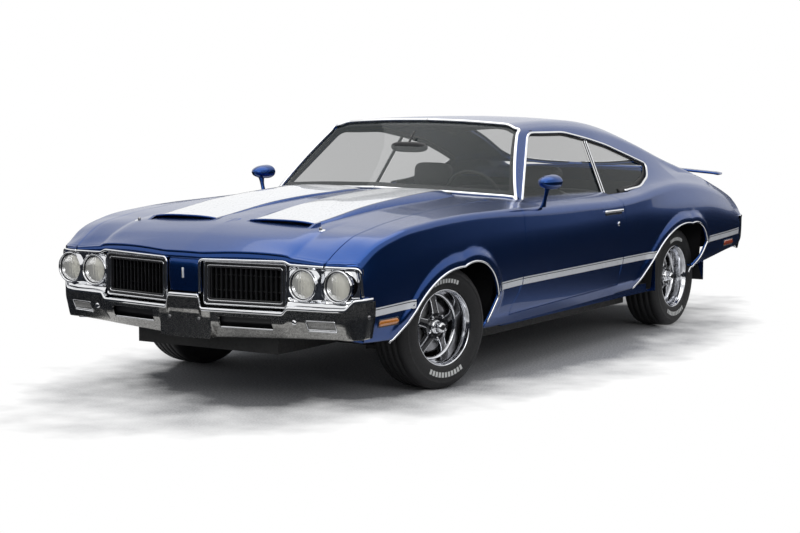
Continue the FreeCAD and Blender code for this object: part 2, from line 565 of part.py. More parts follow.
def wheel_at(y):
    """Deep-dish rim with five spokes, hub and brake drum; outer face towards +X."""
    lip = RIM_HALF_WIDTH
    seat = TYRE_HALF_WIDTH * 0.83
    inner = RIM_SEAT_R - 6
    barrel = revolve_x([(-lip, RIM_LIP_R), (-lip, inner - 2), (-40, inner - 14), (30, inner - 14),
                        (lip - 6, inner), (lip, RIM_LIP_R - 5), (lip, RIM_LIP_R), (lip - 5, RIM_LIP_R),
                        (seat + 0.5, RIM_SEAT_R), (-seat - 0.5, RIM_SEAT_R), (5 - lip, RIM_LIP_R)],
                       TRACK_HALF, y, AXLE_Z)
    hub = revolve_x([(-40, bore_r), (DISC_A + 34, bore_r), (DISC_A + 34, 30), (DISC_A + 10, HUB_R),
                     (DISC_A - 6, HUB_R + 22), (-40, HUB_R + 22)], TRACK_HALF, y, AXLE_Z)
    drum = revolve_x([(-44, HUB_R), (-44, 60), (-36, DRUM_R), (-6, DRUM_R), (-6, HUB_R)],
                     TRACK_HALF, y, AXLE_Z)
    spoke = prism([(y - 27, AXLE_Z + HUB_R), (y + 27, AXLE_Z + HUB_R), (y + 21, AXLE_Z + inner - 12),
                   (y - 21, AXLE_Z + inner - 12)], TRACK_HALF + DISC_A - 6, TRACK_HALF + DISC_A + 18,
                  "x")
    spokes = []
    for i in range(5):
        arm = spoke.copy()
        arm.rotate(V(TRACK_HALF, y, AXLE_Z), V(1, 0, 0), 72 * i)
        spokes.append(arm)
    return fuse([barrel, hub, drum] + spokes)


def spindle(y, inner_x):
    """Stub axle that carries a wheel, with a nut face behind the hub's cap."""
    return rod((inner_x, y, AXLE_Z), (TRACK_HALF + DISC_A + 26, y, AXLE_Z), SPINDLE_R)


ARM_LOW_Z = 206.0
ARM_TOP_Z = 424.0
knuckle_left = fuse([box(KINGPIN_X - 18, KINGPIN_X + 16, FA - 26, FA + 26, ARM_LOW_Z + SEAT_GAP,
                         ARM_TOP_Z - SEAT_GAP), spindle(FA, KINGPIN_X)])
kingpin = {1: V(KINGPIN_X, FA, 0), -1: V(-KINGPIN_X, FA, 0)}


def steered(shape, hand):
    """Turn a front piece about its own kingpin to where it stands."""
    turned = shape.copy()
    turned.rotate(kingpin[hand], V(0, 0, 1), STEER_REST)
    return turned


wheel_front, tyre_front = wheel_at(FA), tyre_at(FA)
wheel_rear, tyre_rear = wheel_at(RA), tyre_at(RA)
for hand, side in ((1, "left"), (-1, "right")):
    turn = (lambda s: s) if hand == 1 else mirrored
    save("knuckle_" + side, [steered(turn(knuckle_left), hand)])
    save("wheel_front_" + side, [steered(turn(wheel_front), hand)])
    save("tyre_front_" + side, [steered(turn(tyre_front), hand)])
    save("wheel_rear_" + side, [turn(wheel_rear)])
    save("tyre_rear_" + side, [turn(tyre_rear)])

# ---------------------------------------------------------------- frame and running gear
FRAME_FRONT = (360.0, 430.0, 250.0, 330.0)   # x and z of a front rail
FRAME_SIDE = (640.0, 710.0)                  # x of a side rail
FRAME_REAR = (480.0, 545.0, 396.0, 456.0)    # x and z of a rear rail
FRAME_STEP = (at("F", 440), at("F", 520))    # torque box behind the front wheel
FRAME_STEP_IN = (at("R", -520), at("R", -440))   # where the side rail steps in
FRAME_KICK = (at("R", -324), at("R", -250))  # kick-up behind the rear seat
TRUNK_Z = FRAME_REAR[3] + 10
fx0, fx1, fz0, fz1 = FRAME_FRONT
rx0, rx1, rz0, rz1 = FRAME_REAR
rail_top = FRAME_Z + RAIL_H
rails = [box(fx0, fx1, FA - 880, FRAME_STEP[1], fz0, fz1),
         box(fx0, FRAME_SIDE[1], FRAME_STEP[0], FRAME_STEP[1], FRAME_Z, fz1 - 60),
         box(FRAME_SIDE[0], FRAME_SIDE[1], FRAME_STEP[0], FRAME_STEP_IN[1], FRAME_Z, rail_top),
         box(rx0, FRAME_SIDE[1], FRAME_STEP_IN[0], FRAME_STEP_IN[1], FRAME_Z, rail_top),
         box(rx0, rx1, FRAME_STEP_IN[0], FRAME_KICK[1], FRAME_Z, rail_top),
         box(rx0, rx1, FRAME_KICK[0], FRAME_KICK[1], FRAME_Z, rz1),
         box(rx0, rx1, FRAME_KICK[0], RA + 1050, rz0, rz1),
         box(0, fx1, FA - 62, FA + 62, 196, 262),
         box(0, FRAME_SIDE[0] + 10, MID_Y - 40, MID_Y + 30, FRAME_Z, rail_top),
         box(0, rx1, RA + 1000, RA + 1050, rz0, rz1),
         box(0, rx1, FRAME_KICK[0], FRAME_KICK[1], rz0 - 38, rz0),
         box(0, fx1, FA - 880, FA - 840, fz0, fz1)]
body_mounts = [box(FRAME_SIDE[0] + 10, FRAME_SIDE[1] - 10, y - 35, y + 35, rail_top, FLOOR_Z)
               for y in (FRAME_STEP[1] - 40, MID_Y, FRAME_STEP_IN[0] - 60)]
body_mounts += [box(rx0 + 8, rx1 - 8, y - 30, y + 30, rz1, TRUNK_Z) for y in (RA + 480, RA + 980)]
body_mounts += [box(fx0 + 10, fx1 - 10, FA - 860, FA - 820, fz1, fz1 + 14)]
PIPE_R = 30.0
PIPE_X = 230.0
pipe_line = [(PIPE_X, FA + 250, 240), (PIPE_X, MID_Y - 200, 208), (PIPE_X, RA - 620, 208)]
pipe_room = [rod(pipe_line[i], pipe_line[i + 1], PIPE_R + 5) for i in range(2)]
frame_half = cut(fuse(rails + body_mounts), pipe_room)
save("chassis_frame", [fuse([frame_half, mirrored(frame_half)])])

WELL_IN = 600.0              # inner wall of a rear wheelhouse
WELL_TOP = 700.0
CABIN_FRONT = FA + 640       # firewall
CABIN_REAR = RA - 330        # rear seat bulkhead
well = box(WELL_IN - SHEET, 900, RA - 394, RA + 382, FLOOR_Z, WELL_TOP).cut(
    box(WELL_IN, 1000, RA - 382, RA + 370, 0, WELL_TOP - SHEET))
sill = box(806, 872, FRAME_STEP[1], RA - 460, FLOOR_Z, FLOOR_Z + 52)
floor_parts = [box(0, 872, CABIN_FRONT, CABIN_REAR, FLOOR_Z, FLOOR_Z + SHEET),
               box(0, 730, CABIN_FRONT, CABIN_FRONT + SHEET, FLOOR_Z, 920),
               box(0, 760, CABIN_REAR - SHEET, CABIN_REAR, FLOOR_Z, 930),
               box(0, 840, CABIN_REAR - SHEET, RA + 1090, TRUNK_Z, TRUNK_Z + SHEET),
               well, sill, rocker]
wheel_room = box(WELL_IN, 1000, RA - 382, RA + 370, 0, WELL_TOP - SHEET)
tunnel_room = box(0, 128, CABIN_FRONT - 5, CABIN_REAR + 5, FLOOR_Z - 5, FLOOR_Z + 150)
tunnel = box(0, 140, CABIN_FRONT, CABIN_REAR - SHEET, FLOOR_Z, FLOOR_Z + 162)
axle_slot = box(WELL_IN - SHEET - 5, WELL_IN + 5, RA - 62, RA + 62, 0, AXLE_Z + 100)
floor_half = cut(fuse(floor_parts + [tunnel]), [wheel_room, tunnel_room, axle_slot, quarter, fender,
                                                tail_half, filler, cowl_half, rear_bumper_shape])
save("floor_pan", [fuse([floor_half, mirrored(floor_half)])])

APRON_X = 438.0
TOWER_Z = 704.0
apron = [box(APRON_X, APRON_X + 8, FA - 820, CABIN_FRONT - 6, fz1 + 6, TOWER_Z + 90),
         box(APRON_X, 900, FA - 440, FA + 432, TOWER_Z, TOWER_Z + 8),
         box(APRON_X, 900, FA + 424, FA + 432, 330, TOWER_Z),
         box(APRON_X, 900, FA - 448, FA - 440, 420, TOWER_Z + 8),
         box(0, 640, FA - 838, FA - 818, fz1 + 14, 700)]
bumper_rest = box(fx0 + 10, fx1 - 10, FA - 860, FA - 838, fz1 + 14, 520)
arm_window = box(APRON_X - 5, APRON_X + 15, FA - 90, FA + 90, 330, ARM_TOP_Z + 50)
inner_half = cut(fuse(apron + [bumper_rest]), [fender, front_bumper, arm_window, hood_half])
inner_half = inner_half.common(body_outer)
save("inner_fenders", [fuse([inner_half, mirrored(inner_half)])])

ENGINE = (275.0, at("F", -470), at("F", 330), 300.0, 780.0)      # half width, y, z of the block
engine = fuse([box(-ENGINE[0], ENGINE[0], ENGINE[1], ENGINE[2], ENGINE[3], ENGINE[4]),
               box(-fx0, fx0, FA + 120, FA + 180, fz0 + 60, fz1 - 5),
               prism([(FA + 330, 300), (FA + 330, 560), (FA + 628, 400), (FA + 628, 300)], -110, 110, "x"),
               box(-110, 110, FA + 620, MID_Y - 50, 230, 400),
               rod((0, FA - 470, 520), (0, FA - 500, 520), 190),
               box(-60, 60, MID_Y - 52, MID_Y + 20, rail_top + SEAT_GAP, 330)])
save("engine", [engine])

axle_tube = rod((-640, RA, AXLE_Z), (640, RA, AXLE_Z), 38)
carrier = revolve_x([(-110, 0), (-110, 62), (-62, 116), (62, 116), (110, 62), (110, 0)], 0, RA, AXLE_Z)
drive_shaft = rod((0, MID_Y + 20 + SEAT_GAP, 312), (0, RA - 60, AXLE_Z), 36)
arm_ends = FRAME_KICK[1] + SEAT_GAP
axle_parts = [axle_tube, carrier, drive_shaft, spindle(RA, 560), mirrored(spindle(RA, 560))]
for hand in (-1, 1):
    x = hand * 512
    axle_parts.append(box(x - 20, x + 20, arm_ends, RA, 270, 316))
    axle_parts.append(rod((hand * 430, RA, AXLE_Z + 20), (hand * 430, RA, TRUNK_Z - SEAT_GAP), 45))
save("rear_axle", [fuse(axle_parts)])

arm_in = fx1 + SEAT_GAP
low_arm = prism([(arm_in, FA - 110), (arm_in, FA + 110), (KINGPIN_X + 14, FA + 30),
                 (KINGPIN_X + 14, FA - 30)], ARM_LOW_Z - 22, ARM_LOW_Z, "z")
low_arm = fuse([low_arm, box(arm_in, arm_in + 40, FA - 60, FA + 60, ARM_LOW_Z - 22, 262)])
top_arm = prism([(fx0 + 20, FA - 70), (fx0 + 20, FA + 70), (KINGPIN_X + 14, FA + 26),
                 (KINGPIN_X + 14, FA - 26)], ARM_TOP_Z, ARM_TOP_Z + 18, "z")
tower = box(fx0 + 10, fx1, FA - 70, FA + 70, fz1, ARM_TOP_Z + 2)
arms = [low_arm, fuse([top_arm, tower])]
save("front_suspension", arms + [mirrored(a) for a in arms])

tank = box(-420, 420, RA + 420, RA + 960, 260, 380)
tank_straps = [box(x - 20, x + 20, RA + 500, RA + 540, 380, TRUNK_Z) for x in (-300, 300)]
save("fuel_tank", [fuse([tank] + tank_straps)])

pipe_half = [rod(pipe_line[i], pipe_line[i + 1], PIPE_R) for i in range(2)]
pipe_half += [Part.makeSphere(PIPE_R, V(*p)) for p in pipe_line]
pipe_half.append(box(150, 330, RA - 620, RA - 520, 172, 256))
pipe_half.append(rod(pipe_line[0], (PIPE_X, FA + 250, ENGINE[3] - SEAT_GAP), PIPE_R))
exhaust_half = fuse(pipe_half)
save("exhaust", [exhaust_half, mirrored(exhaust_half)])

# ---------------------------------------------------------------- cabin fittings
WHEEL_CENTRE = (380.0, at("F", 1110), 880.0)       # middle of the steering wheel
DASH_HALF = 716.0
cowl_end = FA + COWL_REAR
dash = prism([(cowl_end, 905), (cowl_end, 690), (cowl_end + 90, 640), (cowl_end + 150, 690),
              (cowl_end + 160, 880), (cowl_end + 110, 918)], -DASH_HALF, DASH_HALF, "x")
tilt = math.radians(COLUMN_TILT)
aim = V(0, math.cos(tilt), math.sin(tilt))         # from the dash towards the driver
hub_centre = V(*WHEEL_CENTRE)
column_end = hub_centre - aim * 45
column = rod(tuple(column_end - aim * 330), tuple(column_end), 26)
save("dashboard", [fuse([dash.cut(cowl), column])])

grip = Part.makeTorus(STEERING_WHEEL_R, STEERING_GRIP_R, hub_centre, aim)
hub_piece = Part.makeCylinder(34, 50, hub_centre - aim * (45 - SEAT_GAP), aim)
hand_spokes = []
for angle in (0, 120, 240):
    spoke = box(-9, 9, 0, STEERING_WHEEL_R, -6, 0)
    spoke.rotate(V(0, 0, 0), V(0, 0, 1), angle + 180)
    spoke.rotate(V(0, 0, 0), V(1, 0, 0), COLUMN_TILT - 90)
    spoke.translate(hub_centre - aim * 4)
    hand_spokes.append(spoke)
save("steering_wheel", [fuse([grip, hub_piece] + hand_spokes)])

SEAT_X = 384.0               # middle of a front seat
SEAT_HALF = 238.0
SEAT_Y = at("F", 1270)       # front of the cushion
seat_floor = FLOOR_Z + SHEET + SEAT_GAP
cushion = prism([(SEAT_Y, 320), (SEAT_Y, 410), (SEAT_Y + 50, 446), (SEAT_Y + 440, 412),
                 (SEAT_Y + 460, 320)], SEAT_X - SEAT_HALF, SEAT_X + SEAT_HALF, "x")
backrest = prism([(SEAT_Y + 440, 400), (SEAT_Y + 580, 900), (SEAT_Y + 640, 918), (SEAT_Y + 680, 890),
                  (SEAT_Y + 560, 330), (SEAT_Y + 440, 330)], SEAT_X - SEAT_HALF, SEAT_X + SEAT_HALF, "x")
headrest = prism([(SEAT_Y + 612, 900), (SEAT_Y + 630, 1040), (SEAT_Y + 700, 1050), (SEAT_Y + 706, 960),
                  (SEAT_Y + 670, 890)], SEAT_X - 130, SEAT_X + 130, "x")
base = box(SEAT_X - 190, SEAT_X + 190, SEAT_Y + 60, SEAT_Y + 400, seat_floor, 330)
front_seat = fuse([cushion, backrest, headrest, base])
save("front_seats", [front_seat, mirrored(front_seat)])

bench_back = CABIN_REAR - SHEET - SEAT_GAP
bench_half = WELL_IN - SHEET - 4
bench = fuse([prism([(bench_back - 500, 300), (bench_back - 520, 430), (bench_back - 480, 450),
                     (bench_back - 60, 405), (bench_back, 405), (bench_back, 300)],
                    -bench_half, bench_half, "x"),
              prism([(bench_back - 120, 400), (bench_back - 55, 850), (bench_back - 20, 878),
                     (bench_back, 870), (bench_back, 400)], -bench_half, bench_half, "x")])
bench_foot = [box(x - 60, x + 60, bench_back - 440, bench_back - 60, FLOOR_Z + SHEET + SEAT_GAP, 302)
              for x in (-400, 400)]
over_tunnel = box(-141, 141, bench_back - 600, bench_back, 0, FLOOR_Z + 162 + SEAT_GAP)
save("rear_seat", [fuse([bench] + bench_foot).cut(over_tunnel)])

# Door mirror, an oval bullet on a short arm.  Columns: y from the door's front edge, half width,
# half height of the head.
MIRROR = [(-30, 10, 8), (0, 38, 26), (40, 54, 37), (95, 58, 40), (108, 54, 36)]
MIRROR_X = 962.0
MIRROR_Z = 1010.0
mirror_y = DOOR_FRONT[2][0] + 185


def oval(y, half_x, half_z):
    turns = [math.radians(22.5 + 45 * i) for i in range(8)]
    return [V(MIRROR_X + half_x * math.cos(t), y, MIRROR_Z + half_z * math.sin(t)) for t in turns]


head = loft([oval(mirror_y + dy, hx, hz) for dy, hx, hz in MIRROR])
arm = prism([(926, 890), (905, 896), (936, MIRROR_Z - 20), (962, MIRROR_Z - 20)], mirror_y + 30,
            mirror_y + 70, "y")
arm = fuse([arm, box(884, 934, mirror_y + 10, mirror_y + 90, 850, 900)]).cut(body_outer)
door_mirror = fuse([head, max(arm.Solids, key=lambda t: t.Volume)])
save("mirror_left", [door_mirror])
save("mirror_right", [mirrored(door_mirror)])
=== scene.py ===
import math

import bpy
import numpy as np
from mathutils import Matrix, Vector


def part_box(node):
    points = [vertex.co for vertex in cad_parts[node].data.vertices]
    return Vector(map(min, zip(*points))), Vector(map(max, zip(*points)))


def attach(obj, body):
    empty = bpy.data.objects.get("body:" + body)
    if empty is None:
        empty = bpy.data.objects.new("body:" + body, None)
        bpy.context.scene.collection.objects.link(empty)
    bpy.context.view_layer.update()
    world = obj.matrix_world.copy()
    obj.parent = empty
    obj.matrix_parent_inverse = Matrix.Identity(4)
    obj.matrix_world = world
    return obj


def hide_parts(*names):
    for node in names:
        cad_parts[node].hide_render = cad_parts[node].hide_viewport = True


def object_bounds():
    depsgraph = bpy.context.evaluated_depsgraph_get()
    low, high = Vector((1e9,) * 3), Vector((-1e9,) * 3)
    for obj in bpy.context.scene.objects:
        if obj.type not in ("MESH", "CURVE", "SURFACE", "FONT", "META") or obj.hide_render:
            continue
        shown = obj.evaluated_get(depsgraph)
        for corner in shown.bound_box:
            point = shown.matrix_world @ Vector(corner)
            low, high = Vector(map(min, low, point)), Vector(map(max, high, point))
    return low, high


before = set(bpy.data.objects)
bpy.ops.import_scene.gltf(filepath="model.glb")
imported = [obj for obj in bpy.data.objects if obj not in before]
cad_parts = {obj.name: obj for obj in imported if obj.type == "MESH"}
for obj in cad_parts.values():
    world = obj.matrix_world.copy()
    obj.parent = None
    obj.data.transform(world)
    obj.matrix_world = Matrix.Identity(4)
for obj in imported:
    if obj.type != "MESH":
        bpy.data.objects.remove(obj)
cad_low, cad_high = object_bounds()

# ---------------------------------------------------------------- places, in millimetres
# The solids give the ends of the car and the rear axle; the wheelbase gives the front axle.
NOSE_Y = round(cad_low.y * 1000, 1)
TAIL_Y = round(cad_high.y * 1000, 1)
tyre_low, tyre_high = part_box("tyre_rear_left")
RA = round((tyre_low.y + tyre_high.y) * 500, 1)
WHEELBASE = 2845.0
FA = RA - WHEELBASE
AXLE_Z = 315.0
TRACK_HALF = 753.0
KINGPIN_X = 690.0
STEER_REST = -12.0
SHUT_GAP = 6.0


def at(axle, dy):
    """Station measured from the front (F) or rear (R) axle."""
    return (FA if axle == "F" else RA) + dy


# ---------------------------------------------------------------- materials
def node_material(name):
    mat = bpy.data.materials.new(name)
    mat.use_nodes = True
    return mat, mat.node_tree, mat.node_tree.nodes["Principled BSDF"]


def object_noise(tree, scale, detail=3.0, rough=0.55):
    coords = tree.nodes.new("ShaderNodeTexCoord")
    noise = tree.nodes.new("ShaderNodeTexNoise")
    noise.inputs["Scale"].default_value = scale
    noise.inputs["Detail"].default_value = detail
    noise.inputs["Roughness"].default_value = rough
    tree.links.new(coords.outputs["Object"], noise.inputs["Vector"])
    return noise


GLASS_IOR = 1.5


def finish(name, color, rough, metal=0.0, coat=0.0, coat_rough=0.04, vary=0.0, rough_vary=0.0,
           grain=0.0, grain_scale=300.0, scale=14.0, alpha=1.0, transmission=0.0, specular=0.5):
    """Painted, plated, moulded or cast finish with its own unevenness."""
    mat, tree, shader = node_material(name)
    shader.inputs["Metallic"].default_value = metal
    shader.inputs["Coat Weight"].default_value = coat
    shader.inputs["Coat Roughness"].default_value = coat_rough
    shader.inputs["Alpha"].default_value = alpha
    shader.inputs["Transmission Weight"].default_value = transmission
    shader.inputs["IOR"].default_value = GLASS_IOR
    shader.inputs["Specular IOR Level"].default_value = specular
    noise = object_noise(tree, scale)
    ramp = tree.nodes.new("ShaderNodeValToRGB")
    ramp.color_ramp.elements[0].position = 0.3
    ramp.color_ramp.elements[1].position = 0.7
    ramp.color_ramp.elements[0].color = [c * (1 - vary) for c in color] + [1]
    ramp.color_ramp.elements[1].color = [min(1, c * (1 + vary)) for c in color] + [1]
    tree.links.new(noise.outputs["Fac"], ramp.inputs["Fac"])
    tree.links.new(ramp.outputs["Color"], shader.inputs["Base Color"])
    spread = tree.nodes.new("ShaderNodeMapRange")
    spread.inputs["From Min"].default_value = 0.3
    spread.inputs["From Max"].default_value = 0.7
    spread.inputs["To Min"].default_value = max(0.0, rough - rough_vary)
    spread.inputs["To Max"].default_value = min(1.0, rough + rough_vary)
    fine = object_noise(tree, scale * 5)
    tree.links.new(fine.outputs["Fac"], spread.inputs["Value"])
    tree.links.new(spread.outputs["Result"], shader.inputs["Roughness"])
    if grain:
        bump = tree.nodes.new("ShaderNodeBump")
        bump.inputs["Strength"].default_value = grain
        bump.inputs["Distance"].default_value = 0.001
        skin = object_noise(tree, grain_scale, 2.0)
        tree.links.new(skin.outputs["Fac"], bump.inputs["Height"])
        tree.links.new(bump.outputs["Normal"], shader.inputs["Normal"])
    return mat


PAINT = finish("blue_metallic_paint", (0.007, 0.050, 0.215), 0.26, metal=0.9, coat=0.4, coat_rough=0.02,
               vary=0.10, rough_vary=0.04, scale=900.0)
STRIPE = finish("white_stripe_paint", (0.86, 0.87, 0.89), 0.30, coat=0.8, vary=0.02, rough_vary=0.05)
STRIPE_EDGE = finish("dark_stripe_edge", (0.012, 0.014, 0.02), 0.4, coat=0.5, vary=0.1)
CHROME = finish("bright_chrome", (0.80, 0.81, 0.83), 0.07, metal=1.0, vary=0.03, rough_vary=0.03)
# Chrome of the bumpers' faces: the same plating as the lips. Its darker, mottled tone is a painted reflection
# of the gravel floor below.
BUMPER_CHROME_PAINTED_REFLECTION = finish("bumper_chrome_painted_reflection", (0.36, 0.355, 0.34), 0.24, metal=1.0, vary=0.34, rough_vary=0.10,
                       grain=0.30, grain_scale=260.0, scale=95.0)
SATIN_BLACK = finish("satin_black", (0.012, 0.012, 0.014), 0.42, vary=0.2, rough_vary=0.08, grain=0.1)
DEEP_BLACK = finish("deep_black", (0.004, 0.004, 0.005), 0.7, vary=0.2, rough_vary=0.1, grain=0.1)
SEAL = finish("rubber_seal", (0.010, 0.010, 0.011), 0.6, vary=0.2, rough_vary=0.1, grain=0.2)
RUBBER = finish("tyre_rubber", (0.008, 0.008, 0.009), 0.62, vary=0.25, rough_vary=0.12, grain=0.35,
                grain_scale=420.0, scale=30.0)
WHITE_RUBBER = finish("raised_white_rubber", (0.72, 0.72, 0.70), 0.6, vary=0.06, rough_vary=0.1, grain=0.2)
GLASS = finish("tinted_glass", (0.035, 0.050, 0.052), 0.02, alpha=0.36, vary=0.05, rough_vary=0.01,
               scale=3.0, specular=0.6)
LENS = finish("headlamp_glass", (0.92, 0.90, 0.82), 0.12, transmission=0.45, coat=0.6, vary=0.04,
              rough_vary=0.05, grain=0.5, grain_scale=120.0)
REFLECTOR = finish("lamp_reflector", (0.78, 0.78, 0.74), 0.16, metal=1.0, vary=0.1, rough_vary=0.06,
                   grain=0.3, grain_scale=90.0)
CLEAR_LENS = finish("parking_lens", (0.40, 0.39, 0.37), 0.25, transmission=0.2, coat=0.5, vary=0.2,
                    rough_vary=0.1, grain=0.8, grain_scale=160.0, scale=60.0)
AMBER = finish("amber_lens", (0.62, 0.20, 0.02), 0.2, coat=0.8, vary=0.25, rough_vary=0.1, grain=0.6,
               grain_scale=200.0, scale=80.0)
RED = finish("red_lens", (0.42, 0.02, 0.015), 0.18, coat=0.8, vary=0.2, rough_vary=0.08, grain=0.6,
             grain_scale=200.0, scale=80.0)
ORANGE_RED = finish("side_marker_lens", (0.50, 0.07, 0.02), 0.2, coat=0.8, vary=0.2, rough_vary=0.1,
                    grain=0.6, grain_scale=200.0, scale=80.0)
WHEEL_GREY = finish("dark_wheel_enamel", (0.020, 0.021, 0.025), 0.28, metal=0.5, coat=0.5, vary=0.15,
                    rough_vary=0.08)
POLISHED = finish("polished_rim", (0.66, 0.67, 0.70), 0.10, metal=1.0, vary=0.05, rough_vary=0.05, scale=30.0)
VINYL = finish("black_vinyl", (0.014, 0.014, 0.016), 0.42, vary=0.15, rough_vary=0.10, grain=0.5,
               grain_scale=700.0)
CARPET = finish("black_carpet", (0.012, 0.012, 0.013), 0.95, vary=0.4, rough_vary=0.05, grain=1.0,
                grain_scale=900.0, scale=200.0)
CHASSIS = finish("chassis_black", (0.012, 0.012, 0.012), 0.55, vary=0.3, rough_vary=0.15, grain=0.3)
IRON = finish("engine_enamel", (0.02, 0.05, 0.13), 0.45, metal=0.3, vary=0.2, rough_vary=0.15, grain=0.5)
STEEL = finish("bare_steel", (0.30, 0.30, 0.31), 0.35, metal=1.0, vary=0.15, rough_vary=0.1, grain=0.2)
MIRROR_GLASS = finish("mirror_glass", (0.72, 0.75, 0.78), 0.02, metal=1.0, vary=0.02, rough_vary=0.01)


# ---------------------------------------------------------------- mesh helpers
def mesh_piece(name, points, faces, mats, body, slot=None, normals=None, picks=None, flat=False):
    """Piece from points in millimetres; picks gives each face's material number."""
    mesh = bpy.data.meshes.new(name)
    mesh.from_pydata((np.asarray(points, float) / 1000.0).tolist(), [], faces)
    mats = mats if isinstance(mats, (list, tuple)) else [mats]
    for mat in mats:
        mesh.materials.append(mat)
    if picks is not None:
        mesh.polygons.foreach_set("material_index", picks)
    if not flat:
        mesh.shade_smooth()
    mesh.update()
    if normals is not None:
        mesh.normals_split_custom_set_from_vertices(np.asarray(normals, float).tolist())
    obj = bpy.data.objects.new(name, mesh)
    bpy.context.scene.collection.objects.link(obj)
    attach(obj, body)
    return obj


DOORS = ("door_l", "door_r")


def around(count):
    """Even turns round a circle."""
    return np.linspace(0, 2 * math.pi, count, endpoint=False)


def flip(points):
    out = np.array(points, float)
    out[:, 0] *= -1
    return out


def pair(name, points, faces, mats, bodies, **more):
    """The left piece and its mirror image; bodies is one body or (left, right)."""
    left, right = bodies if isinstance(bodies, tuple) else (bodies, bodies)
    made = [mesh_piece(name + "_left", points, faces, mats, left, **more)]
    if more.get("normals") is not None:
        more["normals"] = flip(more["normals"])
    made.append(mesh_piece(name + "_right", flip(points), [f[::-1] for f in faces], mats, right, **more))
    return made


def smooth_table(keys, values):
    """Smooth curve through the rows of a table, as a function of the key."""
    keys, values = np.array(keys, float), np.array(values, float)
    steps = np.diff(keys)
    slopes = np.diff(values, axis=0) / steps[:, None]
    share = (steps[:-1] / (steps[:-1] + steps[1:]))[:, None]
    tangents = np.vstack([slopes[:1], slopes[:-1] * (1 - share) + slopes[1:] * share, slopes[-1:]])

    def value(q):
        q = np.atleast_1d(np.asarray(q, float))
        i = np.clip(np.searchsorted(keys, q) - 1, 0, len(keys) - 2)
        h = steps[i][:, None]
        t = ((q - keys[i]) / steps[i])[:, None]
        return ((2 * t**3 - 3 * t**2 + 1) * values[i] + (t**3 - 2 * t**2 + t) * h * tangents[i]
                + (3 * t**2 - 2 * t**3) * values[i + 1] + (t**3 - t**2) * h * tangents[i + 1])

    return value


def rounded(points, radii, straight, bend):
    """Sections with rounded corners: points is (stations, corners, 2), the rest are per corner or edge."""
    parts = []
    last = points[:, 0]
    for k in range(1, points.shape[1] - 1):
        before = points[:, k] - points[:, k - 1]
        after = points[:, k + 1] - points[:, k]
        len_b = np.linalg.norm(before, axis=1, keepdims=True)
        len_a = np.linalg.norm(after, axis=1, keepdims=True)
        size = np.minimum(radii[k - 1], np.minimum(len_b, len_a) * 0.48)
        start = points[:, k] - before / len_b * size
        end = points[:, k] + after / len_a * size
        for i in range(straight[k - 1]):
            parts.append(last + (start - last) * i / straight[k - 1])
        for i in range(bend[k - 1]):
            t = i / bend[k - 1]
            parts.append(start * (1 - t) ** 2 + points[:, k] * 2 * t * (1 - t) + end * t**2)
        last = end
    for i in range(straight[-1] + 1):
        parts.append(last + (points[:, -1] - last) * i / straight[-1])
    return np.stack(parts, axis=1)


def outline_distance(u, v, outline):
    """Signed distance from (u, v) to a closed outline, negative inside."""
    shape = np.shape(u)
    u, v = np.ravel(u), np.ravel(v)
    best = np.full(u.shape, 1e12)
    inside = np.zeros(u.shape, bool)
    ring = list(outline)
    for (au, av), (bu, bv) in zip(ring, ring[1:] + ring[:1]):
        du, dv = bu - au, bv - av
        t = np.clip(((u - au) * du + (v - av) * dv) / (du * du + dv * dv + 1e-9), 0, 1)
        best = np.minimum(best, (u - au - t * du) ** 2 + (v - av - t * dv) ** 2)
        crosses = ((av > v) != (bv > v)) & (u < (bu - au) * (v - av) / (bv - av + 1e-12) + au)
        inside ^= crosses
    dist = np.sqrt(best)
    return np.where(inside, -dist, dist).reshape(shape)


def grid_normals(grid):
    along = np.gradient(grid, axis=0)
    across = np.gradient(grid, axis=1)
    n = np.cross(along, across)
    n /= np.linalg.norm(n, axis=2, keepdims=True) + 1e-9
    return n


def clip_grid(grid, normals, keep):
    """Faces of the grid where keep < 0, with the edge cells cut along keep = 0."""
    inside = keep < 0
    points, norms, faces = [], [], []
    seen = {}

    def corner(i, j):
        key = (i, j)
        if key not in seen:
            seen[key] = len(points)
            points.append(grid[i, j])
            norms.append(normals[i, j])
        return seen[key]

    def crossing(a, b):
        key = (a, b) if a < b else (b, a)
        if key not in seen:
            (a, b) = key
            t = keep[a] / (keep[a] - keep[b])
            t = min(max(t, 0.02), 0.98)
            seen[key] = len(points)
            points.append(grid[a] * (1 - t) + grid[b] * t)
            norms.append(normals[a] * (1 - t) + normals[b] * t)
        return seen[key]

    some = inside[:-1, :-1] | inside[1:, :-1] | inside[1:, 1:] | inside[:-1, 1:]
    for i, j in np.argwhere(some):
        ring = [(i, j), (i + 1, j), (i + 1, j + 1), (i, j + 1)]
        face = []
        for k in range(4):
            a, b = ring[k], ring[(k + 1) % 4]
            if inside[a]:
                face.append(corner(*a))
            if inside[a] != inside[b]:
                face.append(crossing(a, b))
        if len(face) >= 3:
            faces.append(face)
    return np.array(points), np.array(norms), faces


def edge_loops(faces):
    """Directed edges that belong to one face only."""
    count = {}
    for face in faces:
        for a, b in zip(face, face[1:] + face[:1]):
            count[(a, b)] = 1
    return [(a, b) for (a, b) in count if (b, a) not in count]


